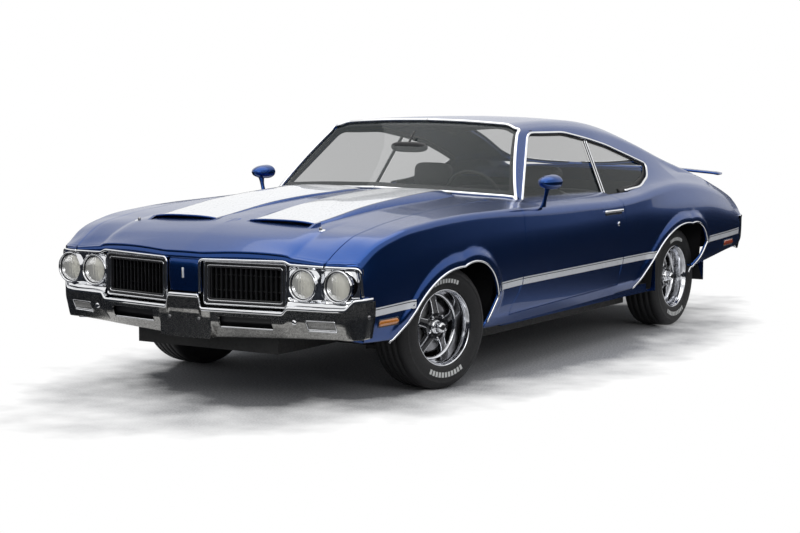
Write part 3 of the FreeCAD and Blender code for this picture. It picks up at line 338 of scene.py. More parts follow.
def with_flange(points, norms, faces, depth, way=None):
    """Adds a rounded folded edge that goes depth inward along the surface's own normal, or along way."""
    points, norms, faces = list(points), list(norms), [list(f) for f in faces]
    rims = {}
    for a, b in edge_loops(faces):
        for v in (a, b):
            if v not in rims:
                inward = -np.asarray(norms[v]) if way is None else np.asarray(way, float)
                rims[v] = (len(points), len(points) + 1)
                tangent = np.asarray(points[b]) - np.asarray(points[a])
                side = np.cross(tangent, norms[v])
                side /= np.linalg.norm(side) + 1e-9
                points.append(np.asarray(points[v]) + inward * 1.5 + side * 0.6)
                norms.append(side * 0.8 + np.asarray(norms[v]) * 0.6)
                points.append(np.asarray(points[v]) + inward * depth)
                norms.append(side)
        faces.append([b, a, rims[a][0], rims[b][0]])
        faces.append([rims[b][0], rims[a][0], rims[a][1], rims[b][1]])
    return np.array(points), np.array(norms), faces


def sweep(name, path, normals, profile, mat, bodies="body", closed=False, mirror=True, slot=None):
    """Pushes a profile of (side, out) pairs along a path; normals is one direction or one per point."""
    path = np.array(path, float)
    normals = np.broadcast_to(np.asarray(normals, float), path.shape)
    tangent = np.gradient(path, axis=0)
    if closed:
        tangent = np.roll(path, -1, 0) - np.roll(path, 1, 0)
    tangent /= np.linalg.norm(tangent, axis=1, keepdims=True) + 1e-9
    side = np.cross(tangent, normals)
    side /= np.linalg.norm(side, axis=1, keepdims=True) + 1e-9
    out = np.cross(side, tangent)
    rings = [path + side * s + out * o for s, o in profile]
    points = np.stack(rings, axis=1).reshape(-1, 3)
    n, k = len(path), len(profile)
    faces = []
    for i in range(n if closed else n - 1):
        m = (i + 1) % n
        for j in range(k):
            q = (j + 1) % k
            faces.append([i * k + j, i * k + q, m * k + q, m * k + j])
    if not closed:
        faces += [list(range(k))[::-1], [(n - 1) * k + j for j in range(k)]]
    if mirror:
        return pair(name, points, faces, mat, bodies, slot=slot)
    return [mesh_piece(name, points, faces, mat, bodies, slot=slot)]


def half_round(half_width, rise, sink=3.0):
    """Profile of a trim moulding."""
    arc = [(half_width * math.cos(t), rise * math.sin(t)) for t in np.linspace(0, math.pi, 9)]
    return [(half_width, -sink)] + arc + [(-half_width, -sink)]


def resample(path, step):
    """Points at even spacing along a polyline."""
    path = np.array(path, float)
    run = np.concatenate([[0], np.cumsum(np.linalg.norm(np.diff(path, axis=0), axis=1))])
    count = max(2, int(run[-1] / step) + 1)
    where = np.linspace(0, run[-1], count)
    return np.stack([np.interp(where, run, path[:, c]) for c in range(path.shape[1])], axis=1)


def softened(path, size, closed=False):
    """Polyline with each corner replaced by a short curve."""
    path = [np.array(p, float) for p in path]
    out = [] if closed else [path[0]]
    n = len(path)
    for k in range(n) if closed else range(1, n - 1):
        p, a, b = path[k], path[k - 1], path[(k + 1) % n]
        la, lb = np.linalg.norm(a - p), np.linalg.norm(b - p)
        d = min(size, la * 0.45, lb * 0.45)
        start, end = p + (a - p) / la * d, p + (b - p) / lb * d
        for t in np.linspace(0, 1, 7):
            out.append(start * (1 - t) ** 2 + p * 2 * t * (1 - t) + end * t**2)
    if not closed:
        out.append(path[-1])
    return np.array(out)


def arc_through(a, b, c, count):
    """Points on the circle through three points of a plane."""
    (ax, ay), (bx, by), (cx, cy) = a, b, c
    d = 2 * (ax * (by - cy) + bx * (cy - ay) + cx * (ay - by))
    ux = ((ax**2 + ay**2) * (by - cy) + (bx**2 + by**2) * (cy - ay) + (cx**2 + cy**2) * (ay - by)) / d
    uy = ((ax**2 + ay**2) * (cx - bx) + (bx**2 + by**2) * (ax - cx) + (cx**2 + cy**2) * (bx - ax)) / d
    r = math.hypot(ax - ux, ay - uy)
    t0, t1 = math.atan2(ay - uy, ax - ux), math.atan2(cy - uy, cx - ux)
    if t1 > t0 + math.pi:
        t1 -= 2 * math.pi
    if t1 < t0 - math.pi:
        t1 += 2 * math.pi
    return [(ux + r * math.cos(t), uy + r * math.sin(t)) for t in np.linspace(t0, t1, count)]


# ---------------------------------------------------------------- lower body surface
# One row per station of the left half, the same rows as the solids.  Columns: axle and distance
# behind it, then x and z of the low edge, the sill crease, the widest line, the shoulder and the
# inner rail, z of the crown halfway to the centre line, z on the centre line.
BODY = [
    ("F", -1090, 870, 352, 888, 480, 900, 580, 886, 668, 758, 690, 712, 720),
    ("F", -970, 872, 345, 894, 470, 906, 580, 888, 692, 762, 712, 768, 775),
    ("F", -890, 876, 338, 900, 450, 914, 585, 900, 716, 768, 764, 800, 806),
    ("F", -790, 880, 330, 906, 430, 920, 595, 914, 776, 774, 812, 828, 836),
    ("F", -590, 886, 320, 914, 410, 933, 615, 925, 836, 770, 850, 866, 874),
    ("F", -290, 888, 305, 916, 380, 941, 635, 928, 868, 756, 882, 902, 910),
    ("F", 10, 888, 290, 914, 350, 945, 650, 928, 882, 744, 902, 924, 932),
    ("F", 410, 886, 270, 908, 325, 947, 665, 928, 882, 738, 916, 942, 950),
    ("F", 655, 884, 273, 906, 326, 948, 672, 928, 874, 740, 924, 948, 956),
    ("F", 870, 884, 276, 906, 330, 948, 678, 928, 866, 796, 920, 948, 956),
    ("R", -1400, 884, 286, 906, 338, 948, 690, 928, 856, 800, 914, 948, 956),
    ("R", -930, 884, 296, 906, 350, 945, 698, 926, 852, 792, 906, 948, 956),
    ("R", -640, 886, 305, 908, 358, 944, 700, 921, 866, 782, 910, 950, 960),
    ("R", -330, 890, 322, 912, 374, 946, 700, 906, 892, 768, 940, 985, 1000),
    ("R", 20, 896, 345, 918, 395, 948, 696, 890, 902, 752, 965, 1000, 1010),
    ("R", 300, 896, 372, 920, 418, 944, 684, 880, 882, 742, 968, 988, 996),
    ("R", 550, 890, 396, 914, 440, 934, 662, 868, 848, 740, 950, 962, 968),
    ("R", 850, 880, 424, 902, 466, 916, 632, 846, 786, 752, 872, 896, 906),
    ("R", 1060, 866, 436, 886, 476, 894, 610, 832, 724, 752, 812, 836, 846),
    ("R", 1250, 850, 440, 868, 480, 876, 600, 816, 670, 740, 752, 772, 780),
]
# Same for the cabin: z on the centre line, z of the crown, x and z of the roof shoulder, of the
# gutter and of the belt.
CABIN = [
    ("F", 560, 1322, 1318, 560, 1302, 634, 1262, 812, 900),
    ("F", 1210, 1334, 1330, 552, 1314, 628, 1276, 806, 900),
    ("R", -1135, 1341, 1337, 545, 1322, 618, 1282, 804, 900),
    ("R", -735, 1328, 1323, 530, 1306, 606, 1262, 800, 896),
    ("R", -435, 1290, 1285, 520, 1268, 602, 1222, 800, 890),
    ("R", -95, 1176, 1178, 528, 1186, 624, 1146, 800, 890),
    ("R", 270, 1020, 1024, 560, 1060, 672, 1036, 800, 890),
    ("R", 545, 930, 935, 640, 965, 738, 950, 820, 880),
]
FRONT_ARCH = [(-602, 300), (-438, 452), (-288, 566), (0, 628), (285, 586), (390, 440), (290, 255)]
REAR_ARCH = [(-706, 290), (-398, 540), (-240, 624), (66, 654), (280, 600), (346, 520), (165, 330)]
NOSE_PLAN = [(0, 8), (111, 10), (550, 80), (760, 102), (850, 138), (960, 230)]
TAIL_PLAN = [(0, -62), (600, -76), (780, -102), (960, -190)]
DOOR_FRONT = [(at("F", 712), 1000), (at("F", 712), 926), (at("F", 662), 868), (at("F", 670), 500),
              (at("F", 632), 430), (at("F", 552), 352)]
DOOR_REAR = [(at("R", -948), 1000), (at("R", -948), 900), (at("R", -905), 780), (at("R", -902), 700),
             (at("R", -906), 490), (at("R", -936), 410), (at("R", -944), 352)]
SILL = [(at("F", 552), 318), (at("R", -944), 352)]
HOOD_REAR = at("F", 600)
DECK_FRONT, DECK_REAR = at("R", 322), at("R", 1120)

body_table = smooth_table([at(r[0], r[1]) for r in BODY], [r[2:] for r in BODY])
cabin_table = smooth_table([at(r[0], r[1]) for r in CABIN], [r[2:] for r in CABIN])


def arch_line(points, axle_y):
    low_front, front, front_mid, top, rear_mid, rear, low_rear = [(axle_y + y, z) for y, z in points]
    line = [low_front] + arc_through(front, front_mid, top, 20) + arc_through(top, rear_mid, rear, 20)[1:]
    return line + [low_rear]


ARCHES = [arch_line(FRONT_ARCH, FA), arch_line(REAR_ARCH, RA)]
ARCH_ZONES = [line + [(line[-1][0], 60), (line[0][0], 60)] for line in ARCHES]


def flare(y, z):
    """How far the metal round the wheel openings stands out."""
    out = np.zeros(np.shape(y))
    for zone in ARCH_ZONES:
        d = outline_distance(y, z, zone)
        t = np.clip((d - 34) / 34, 0, 1)
        band = 13 * (1 - t * t * (3 - 2 * t)) * np.clip((z - 330) / 120, 0, 1)
        out = np.maximum(out, band)
    return out


def body_sections(y):
    """Half sections from the foot round to the centre line: (stations, points, x and z)."""
    row = body_table(y)
    lx, lz, cx, cz, mx, mz, sx, sz, rx, rz, crown, centre = row.T
    corners = [(lx - 70, lz + 4), (lx, lz), (cx, cz), (mx, mz), (sx, sz), (rx, rz), (rx / 2, crown),
               (0 * lx, centre)]
    pts = np.stack([np.stack(c, axis=1) for c in corners], axis=1)
    return rounded(pts, [10, 14, 170, 30, 60, 220], [3, 4, 12, 8, 7, 12, 8], [3, 5, 14, 8, 8, 12])


SIDE_COUNT = 3 + 3 + 4 + 5 + 12 + 14 + 8 + 5          # points from the foot to the shoulder


def cabin_sections(y):
    row = cabin_table(y)
    centre, crown, bx, bz, gx, gz, dx, dz = row.T
    slope = (dx - gx) / (gz - dz)
    corners = [(dx + slope * 160, dz - 160), (gx, gz), (bx, bz), (bx / 2, crown), (0 * gx, centre)]
    pts = np.stack([np.stack(c, axis=1) for c in corners], axis=1)
    return rounded(pts, [30, 80, 220], [24, 6, 10, 8], [8, 10, 12])


def side_x(y, z, section=body_sections, bulge=True):
    """x of the body side at each (y, z)."""
    y, z = np.atleast_1d(np.asarray(y, float)), np.atleast_1d(np.asarray(z, float))
    rows = section(y)
    count = SIDE_COUNT if section is body_sections else 26
    out = np.array([np.interp(zz, row[3:count, 1], row[3:count, 0]) for zz, row in zip(z, rows)])
    return out + flare(y, z) if bulge and section is body_sections else out


def top_z(x, y, section=body_sections):
    """Height of the upper surface at each (x, y)."""
    x, y = np.atleast_1d(np.asarray(x, float)), np.atleast_1d(np.asarray(y, float))
    rows = section(y)
    start = SIDE_COUNT - 4 if section is body_sections else 0
    return np.array([np.interp(-abs(xx), -row[start:, 0], row[start:, 1]) for xx, row in zip(x, rows)])


def side_path(line):
    """3-D path and normals on the body side for a (y, z) line."""
    line = np.array(line, float)
    x = side_x(line[:, 0], line[:, 1])
    dx_y = (side_x(line[:, 0] + 4, line[:, 1]) - side_x(line[:, 0] - 4, line[:, 1])) / 8
    dx_z = (side_x(line[:, 0], line[:, 1] + 4) - side_x(line[:, 0], line[:, 1] - 4)) / 8
    n = np.stack([np.ones(len(line)), -dx_y, -dx_z], axis=1)
    n /= np.linalg.norm(n, axis=1, keepdims=True)
    return np.column_stack([x, line]), n


stations = np.linspace(at("F", -1090), at("R", 1250), 400)
sections = body_sections(stations)
body_grid = np.stack([sections[:, :, 0], np.repeat(stations[:, None], sections.shape[1], 1),
                      sections[:, :, 1]], axis=2)
body_grid[:, :SIDE_COUNT, 0] += flare(body_grid[:, :SIDE_COUNT, 1], body_grid[:, :SIDE_COUNT, 2])
body_normals = grid_normals(body_grid)

# The quarter and the sail panel of the roof are one surface: the cabin rises out of the body in a
# soft fillet.
LIFT = 90.0


def joined_surface(ys):
    """Sections of body and cabin as one skin, finely spaced where the cabin rises."""
    rows = body_sections(ys)
    cabin = cabin_sections(np.clip(ys, at("F", 560), at("R", 545)))
    soft = np.interp(ys, [at("R", -960), at("R", -760), at("R", 100), at("R", 318)], [2.0, LIFT, LIFT, 3.0])
    xs = np.linspace(0, 1, 150)
    out = []
    for i, y in enumerate(ys):
        top = rows[i, SIDE_COUNT - 3:]
        x = top[0, 0] * (1 - xs)
        zb = np.interp(-x, -top[:, 0], top[:, 1])
        drop = max(0.0, y - at("R", 545)) * 0.9
        zc = np.interp(-x, -cabin[i, :, 0], cabin[i, :, 1]) - drop
        zc = np.where(x <= cabin[i, 0, 0], zc, -1e4)
        if y < at("F", 520):
            zc[:] = -1e4
        k = soft[i]
        h = np.maximum(k - np.abs(zc - zb), 0) / k
        z = np.maximum(zc, zb) + h * h * k / 4
        side = rows[i, :SIDE_COUNT - 3]
        side_x_now = side[:, 0] + flare(np.full(len(side), y), side[:, 1])
        ring = np.vstack([np.column_stack([side_x_now, np.full(len(side), y), side[:, 1]]),
                          np.column_stack([x, np.full(len(x), y), z])])
        out.append(ring)
    return np.array(out)


cabin_stations = np.linspace(at("F", 470), at("R", 1250), 330)
joined = joined_surface(cabin_stations)
joined_normals = grid_normals(joined)

# ---------------------------------------------------------------- zones of the panels
bx, by, bz = body_grid[:, :, 0], body_grid[:, :, 1], body_grid[:, :, 2]
jx, jy, jz = joined[:, :, 0], joined[:, :, 1], joined[:, :, 2]


def plan_line(points):
    xs, ys = np.array(points, float).T
    return lambda x: np.interp(np.abs(x), xs, ys)


nose_line = plan_line([(x, NOSE_Y + d) for x, d in NOSE_PLAN])
tail_line = plan_line([(x, TAIL_Y + d) for x, d in TAIL_PLAN])
rail_keys = [at(r[0], r[1]) for r in BODY]
rail_values = [r[10] for r in BODY]


def rail_x(y):
    return np.interp(y, rail_keys, rail_values)


def deck_edge(y):
    return np.interp(y, [DECK_FRONT - SHUT_GAP, at("R", 700), DECK_REAR, TAIL_Y], [600, 650, 690, 696])


def line_ahead(line, y, z):
    """Positive where (y, z) is ahead of a shut line."""
    zs = [p[1] for p in line][::-1]
    ys = [p[0] for p in line][::-1]
    return np.interp(z, zs, ys) - y


def arches_distance(y, z):
    return np.minimum(outline_distance(y, z, ARCH_ZONES[0]), outline_distance(y, z, ARCH_ZONES[1]))


def cut_piece(name, grid, normals, keep, mat, body="body", nodes=(), mirror=True, depth=0.0, way=None):
    """Piece of the part of a grid where keep < 0; depth folds its edge inward."""
    points, norms, faces = clip_grid(grid, normals, keep)
    if depth:
        points, norms, faces = with_flange(points, norms, faces, depth, way)
    make = pair if mirror else mesh_piece
    made = make(name, points, faces, mat, body, normals=norms)
    for obj, node in zip(made if mirror else [made], nodes):
        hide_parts(node)


def panel(name, grid, normals, keep, body, nodes=(), depth=16.0, mirror=True, way=None):
    cut_piece(name, grid, normals, keep, PAINT, body, nodes, mirror, depth, way)


def whole(grid):
    """Left half joined to its mirror image across the centre line."""
    right = grid[:, ::-1].copy()
    right[:, :, 0] *= -1
    return np.concatenate([grid[:, :-1], right], axis=1)


arch_d = arches_distance(by, bz)
SILL_FRONT, SILL_REAR = SILL
sill_z = np.interp(by, [SILL_FRONT[0], SILL_REAR[0]], [SILL_FRONT[1], SILL_REAR[1]])
nose_d = nose_line(bx) - by
in_rocker = np.maximum.reduce([bz - sill_z, SILL_FRONT[0] - by, by - SILL_REAR[0]])
fender_keep = np.maximum.reduce([-line_ahead(DOOR_FRONT, by, bz), nose_d, rail_x(by) - bx, -arch_d,
                                 -in_rocker + 0 * bx, by - at("F", 900),
                               np.minimum(543 - bz, NOSE_Y + 247 - by)])
panel("fender", body_grid, body_normals, fender_keep, "body", ["fender_left", "fender_right"])
rocker_keep = np.maximum.reduce([in_rocker, -arch_d])
panel("rocker", body_grid, body_normals, rocker_keep, "body")

DOOR_TOP_X = 800.0
door_keep = np.maximum.reduce([
    line_ahead([(y + SHUT_GAP, z) for y, z in DOOR_FRONT], by, bz),
    -line_ahead([(y - SHUT_GAP, z) for y, z in DOOR_REAR], by, bz),
    sill_z + SHUT_GAP - bz, DOOR_TOP_X - bx])
panel("door", body_grid, body_normals, door_keep, DOORS, depth=92.0, way=(-1, 0, 0),
      nodes=["door_left", "door_right"])

tail_d = jy - tail_line(jx)
joined_arch = arches_distance(jy, jz)
sill_j = np.interp(jy, [SILL_FRONT[0], SILL_REAR[0]], [SILL_FRONT[1], SILL_REAR[1]])
behind_door = line_ahead(DOOR_REAR, jy, jz)
body_top = np.array([np.interp(-row[:, 0], -s[SIDE_COUNT - 3:, 0], s[SIDE_COUNT - 3:, 1])
                     for row, s in zip(joined, body_sections(cabin_stations))])
cabin_over = jz - body_top
cabin_over[:, :SIDE_COUNT - 3] = -100
deck_zone = np.maximum(jx - deck_edge(jy), DECK_FRONT - SHUT_GAP - jy)
QUARTER_OPENING = [(at("R", -990), 886), (at("R", -700), 888), (at("R", -470), 908), (at("R", -240), 960),
                   (at("R", -116), 1034), (at("R", -340), 1099), (at("R", -590), 1166),
                   (at("R", -850), 1214), (at("R", -990), 1230)]
quarter_keep = np.maximum.reduce([
    behind_door, tail_d, -joined_arch, cabin_over - 60, -outline_distance(jy, jz, QUARTER_OPENING),
    np.where(jy < DECK_FRONT, rail_x(jy) - 60 - jx, deck_edge(jy) + SHUT_GAP - jx),
    -np.maximum(jz - sill_j, jy - SILL_REAR[0]), np.minimum(636 - jz, jy - TAIL_Y + 207)])
panel("quarter", joined, joined_normals, quarter_keep, "body", ["quarter_left", "quarter_right"])

SIDE_OPENING = [(at("F", 868), 880), (at("F", 868), 902), (at("F", 1250), 1264), (at("R", -1150), 1258),
                (at("R", -850), 1214), (at("R", -590), 1166), (at("R", -340), 1099),
                (at("R", -116), 1034), (at("R", -240), 958), (at("R", -470), 906),
                (at("R", -700), 886), (at("R", -700), 780), (at("F", 868), 780)]
REAR_GLASS = [(0, at("R", -372)), (455, at("R", -358)), (520, at("R", 215)), (500, at("R", 292)),
              (0, at("R", 300))]
# Height, y in the middle and how far the ends of the glass stand back, at two levels.
WIND_HALF = 900
WIND_LOW, WIND_HIGH = (880.0, at("F", 512), 266.0 * 1.46), (1360.0, at("F", 1262), 20.0 * 1.46)


def windshield_y(x, z):
    """The glass surface, curved in plan and raked."""
    t = (z - WIND_LOW[0]) / (WIND_HIGH[0] - WIND_LOW[0])
    ends = []
    for _, middle, sagitta in (WIND_LOW, WIND_HIGH):
        radius = (WIND_HALF**2 + sagitta**2) / (2 * sagitta)
        ends.append(middle + radius - np.sqrt(radius**2 - np.minimum(np.abs(x), WIND_HALF) ** 2))
    return ends[0] * (1 - t) + ends[1] * t


def pane_y(x, z):
    """y of the windshield at one (x, z)."""
    return float(windshield_y(np.array([x]), np.array([z]))[0])


side_line = [tuple(p) for p in softened(SIDE_OPENING, 34, closed=True)]
rear_line = REAR_GLASS + [(-x, y) for x, y in REAR_GLASS[::-1] if x]
rear_soft = [tuple(p) for p in softened(rear_line, 60, closed=True)]
roof_keep = np.maximum.reduce([
    windshield_y(jx, jz) - jy,
    -outline_distance(jy, jz, side_line) + np.where(jx > 300, 0, -1e4),
    -outline_distance(jx, jy, rear_soft),
    np.where(behind_door > 0, 1.0 - cabin_over, 59.5 - cabin_over),
    -deck_zone + 0 * jx])
panel("roof", whole(joined), whole(joined_normals),
      np.concatenate([roof_keep[:, :-1], roof_keep[:, ::-1]], axis=1), "body", ["roof"], mirror=False,
      depth=26.0)

# ---------------------------------------------------------------- rear shelf, deck lid, tail
shelf_keep = np.maximum.reduce([
    at("R", -380) - jy, jy - (DECK_FRONT - SHUT_GAP), jx - (rail_x(jy) - 60), cabin_over - 60,
    -outline_distance(jx, jy, rear_soft)])
panel("rear_shelf", joined, joined_normals, shelf_keep, "body")
# The wall where the sail panels and the shelf end above the deck lid; it starts over the lid's hinge.
WALL_Y, WALL_LOW = DECK_FRONT - SHUT_GAP - 1, 999.0
wall_ring = joined[int(np.argmin(np.abs(cabin_stations - WALL_Y))), SIDE_COUNT - 3:]
wall = []
for x in np.linspace(-640, 640, 80):
    high_z = max(WALL_LOW + 1, float(np.interp(-abs(x), -wall_ring[:, 0], wall_ring[:, 2])) - 1)
    wall.append([(x, WALL_Y, WALL_LOW + (high_z - WALL_LOW) * t) for t in (0, 0.5, 1)])
wall = np.array(wall)
wall_faces = [[i * 3 + j, i * 3 + j + 1, i * 3 + j + 4, i * 3 + j + 3] for i in range(79) for j in range(2)]
mesh_piece("shelf_wall", wall.reshape(-1, 3), wall_faces, PAINT, "body")
full_body = whole(body_grid)
full_normals = whole(body_normals)
fx, fy, fz = full_body[:, :, 0], full_body[:, :, 1], full_body[:, :, 2]
deck_keep = np.maximum.reduce([DECK_FRONT - fy, fy - DECK_REAR, np.abs(fx) - deck_edge(fy),
                               600.0 - fz])
panel("deck_lid", full_body, full_normals, deck_keep, "deck", ["deck_lid"], mirror=False, depth=22.0)
tail_keep = np.maximum.reduce([DECK_REAR + SHUT_GAP - fy, fy - tail_line(fx),
                               np.abs(fx) - deck_edge(fy) - 2, 560.0 - fz])
panel("tail_top", full_body, full_normals, tail_keep, "body", mirror=False)

tail_x = np.linspace(905, -905, 150)
tail_y = tail_line(tail_x)
tail_ends = body_sections(np.minimum(tail_y, at("R", 1250)))
tail_rows = []
for x, y, s in zip(tail_x, tail_y, tail_ends):
    top = float(np.interp(-abs(x), -s[SIDE_COUNT - 6:, 0], s[SIDE_COUNT - 6:, 1]))
    top = top if abs(x) < s[SIDE_COUNT - 6, 0] else 600.0
    tail_rows.append([(x, y - 2 + 10 * math.sin(t * math.pi), 430 + (top - 430) * t)
                      for t in np.linspace(0, 1, 40)])
tail_grid = np.array(tail_rows)
tail_normals = grid_normals(tail_grid)
TAIL_LAMPS = [(556, 592), (628, 664)]
LAMP_LOW, LAMP_HIGH = 652, 748
tx, tz = np.abs(tail_grid[:, :, 0]), tail_grid[:, :, 2]
side_limit = np.array([np.interp(z, body_sections(np.array([at("R", 1240)]))[0, 3:SIDE_COUNT, 1],
                                 body_sections(np.array([at("R", 1240)]))[0, 3:SIDE_COUNT, 0])
                       for z in tz.ravel()]).reshape(tz.shape)
lamp_gap = np.minimum.reduce([np.maximum.reduce([a - tx, tx - b, LAMP_LOW - tz, tz - LAMP_HIGH])
                              for a, b in TAIL_LAMPS])
panel("tail_face", tail_grid, tail_normals, np.maximum(tx - side_limit - 3, -lamp_gap), "body",
      ["tail_panel"], mirror=False, depth=12.0)


def tail_lens(name, x0, x1, z0, z1, front, back, node=None):
    """Slightly domed lens on the tail, from its back plane to its front plane."""
    us, vs = np.linspace(0, 1, 13), np.linspace(0, 1, 17)
    points = []
    for u in us:
        for v in vs:
            dome = (1 - (2 * u - 1) ** 6) * (1 - (2 * v - 1) ** 8)
            points.append((x0 + (x1 - x0) * u, back + (front - back) * dome, z0 + (z1 - z0) * v))
    faces = [[i * 17 + j, i * 17 + j + 1, (i + 1) * 17 + j + 1, (i + 1) * 17 + j]
             for i in range(12) for j in range(16)]
    made = pair(name, points, faces, RED, "body")
    if node:
        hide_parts(node)


for k, (a, b) in enumerate(TAIL_LAMPS):
    y = float(tail_line(np.array([(a + b) / 2]))[0])
    tail_lens(f"tail_lens_{k}", a + 2, b - 2, LAMP_LOW + 2, LAMP_HIGH - 2, y + 14, y - 6,
              node="tail_lamps" if k == 0 else None)
    frame_path = softened([(a, LAMP_LOW), (b, LAMP_LOW), (b, LAMP_HIGH), (a, LAMP_HIGH)], 8, closed=True)
    ring = np.column_stack([frame_path[:, 0], np.full(len(frame_path), y + 8), frame_path[:, 1]])
    sweep(f"tail_lens_frame_{k}", ring, [0, 1, 0], half_round(4, 4), CHROME, closed=True)

# ---------------------------------------------------------------- hood, scoops and cowl
# The middle of the hood stands 12 mm proud between two soft edges and runs out towards the nose.
inward = np.clip((592 - np.abs(fx)) / 42, 0, 1)
bulge_z = 12 * inward ** 2 * (3 - 2 * inward)
bulge_z *= np.clip((at("F", -480) - fy) / 420, 0, 1)
hood_grid = full_body.copy()
hood_grid[:, :, 2] += bulge_z
hood_keep = np.maximum.reduce([np.abs(fx) - rail_x(fy) + SHUT_GAP, fy - HOOD_REAR,
                               nose_line(fx) - fy])
panel("hood_skin", hood_grid, grid_normals(hood_grid), hood_keep, "hood_lid", ["hood"], mirror=False,
      depth=18.0)

# Ram-air scoop of the left half.  Columns: y from the front axle, x of the foot, of the top edge and
# of the stripe on the inner side, the same outward, z of the top.
SCOOP = [
    (-664, 98, 108, 112, 484, 486, 500, 876),
    (-560, 96, 106, 110, 483, 487, 505, 888),
    (-190, 88, 98, 102, 478, 484, 520, 934),
    (120, 76, 84, 88, 472, 478, 534, 957),
    (300, 62, 72, 76, 468, 474, 544, 966),
    (520, 56, 66, 70, 464, 470, 548, 972),
    (596, 54, 64, 68, 462, 468, 548, 970),
]
MOUTH_LOW = at("F", -742)
scoop_table = smooth_table([at("F", r[0]) for r in SCOOP], [r[1:] for r in SCOOP])
scoop_y = np.linspace(at("F", SCOOP[0][0]), at("F", 594), 120)
scoop_rows = []
for y in scoop_y:
    foot_in, edge_in, stripe_in, stripe_out, edge_out, foot_out, top = scoop_table(y)[0]
    base_in, base_out = top_z(foot_in, y)[0], top_z(foot_out, y)[0]
    top = max(top, base_in + 6)
    crown = [(x, top - 9 * abs((x - 290) / 190) ** 3) for x in np.linspace(stripe_in, stripe_out, 14)]
    scoop_rows.append([(foot_in, y, base_in - 4), (foot_in + 1, y, base_in + 2),
                       (edge_in - 4, y, crown[0][1] - 5), (edge_in, y, crown[0][1] - 1)]
                      + [(x, y, z) for x, z in crown]
                      + [(edge_out, y, crown[-1][1] - 1), (edge_out + 6, y, crown[-1][1] - 4),
                         (foot_out - 4, y, base_out + 3), (foot_out, y, base_out - 4)])
scoop_grid = np.array(scoop_rows)
rows, cols = scoop_grid.shape[:2]
scoop_faces, scoop_picks = [], []
for i in range(rows - 1):
    for j in range(cols - 1):
        scoop_faces.append([i * cols + j, i * cols + j + 1, (i + 1) * cols + j + 1, (i + 1) * cols + j])
        scoop_picks.append(1 if 4 <= j < cols - 5 else 2 if j in (3, cols - 5) else 0)
scoop_faces.append([(rows - 1) * cols + j for j in range(cols)])
scoop_picks.append(0)
pair("scoop", scoop_grid.reshape(-1, 3), scoop_faces, [PAINT, STRIPE, STRIPE_EDGE], "hood_lid",
     picks=scoop_picks)
front = scoop_table(scoop_y[0])[0]
lip_z = float(scoop_grid[0, cols // 2, 2])
for side, x0, x1 in (("inner", front[0] - 3, front[1]), ("outer", front[4], front[5] + 3)):
    low = [(x0, MOUTH_LOW - 30, top_z(x0, MOUTH_LOW - 30)[0] - 3),
           (x1, MOUTH_LOW - 30, top_z(x1, MOUTH_LOW - 30)[0] - 3)]
    back_y = scoop_y[0] + 40
    cheek = low + [(x1, back_y, top_z(x1, back_y)[0] - 6), (x0, back_y, top_z(x0, back_y)[0] - 6)]
    tall = [(x0, scoop_y[0], lip_z - 8), (x1, scoop_y[0], lip_z - 8), (x1, back_y, lip_z - 4),
            (x0, back_y, lip_z - 4)]
    pair(f"scoop_cheek_{side}", cheek + tall,
         [[0, 1, 5, 4], [1, 2, 6, 5], [2, 3, 7, 6], [3, 0, 4, 7], [4, 5, 6, 7], [3, 2, 1, 0]], PAINT,
         "hood_lid", flat=True)
# The deep black floor and back wall inside each scoop's mouth are painted shade of the opening.
mouth_x0, mouth_x1 = front[1], front[4]
deep_y = scoop_y[0] + 130
mouth_points = []
for x in (mouth_x0, mouth_x1):
    mouth_points += [(x, MOUTH_LOW, top_z(x, MOUTH_LOW)[0] + 1.5), (x, deep_y, top_z(x, deep_y)[0] + 1.5),
                     (x, deep_y, lip_z + 4), (x, scoop_y[0], lip_z - 10)]
pair("scoop_mouth", mouth_points, [[0, 4, 5, 1], [1, 5, 6, 2], [2, 6, 7, 3], [0, 1, 2, 3], [7, 6, 5, 4]],
     DEEP_BLACK, "hood_lid", flat=True)
lip = scoop_grid[0, 3:cols - 3]
sweep("scoop_lip", lip, [0, -0.6, 0.8], half_round(5, 4), PAINT, "hood_lid")

cowl_keep = np.maximum.reduce([HOOD_REAR + SHUT_GAP - fy, fy - windshield_y(fx, fz) - 30,
                               np.abs(fx) - rail_x(fy) + np.where(fy > at("F", 700), -60, 0)])
panel("cowl_skin", full_body, full_normals, cowl_keep, "body", ["cowl"], mirror=False)
vent_rows = []
for x in np.linspace(-470, 470, 80):
    y0, y1 = HOOD_REAR + SHUT_GAP, pane_y(x, 955.0) - 8
    vent_rows.append([(x, y, top_z(x, y)[0] + 1.5) for y in np.linspace(y0, max(y1, y0 + 8), 6)])
vent_grid = np.array(vent_rows)
vent_faces = [[i * 6 + j, i * 6 + j + 1, (i + 1) * 6 + j + 1, (i + 1) * 6 + j][::-1]
              for i in range(79) for j in range(5)]
mesh_piece("cowl_vent", vent_grid.reshape(-1, 3), vent_faces, SATIN_BLACK, "body")

# ---------------------------------------------------------------- glass and its mouldings
def cabin_x(y, z):
    return side_x(np.clip(y, at("F", 560), at("R", 545)), z, cabin_sections, False)


def cabin_z(x, y):
    return top_z(x, np.clip(y, at("F", 560), at("R", 545)), cabin_sections)


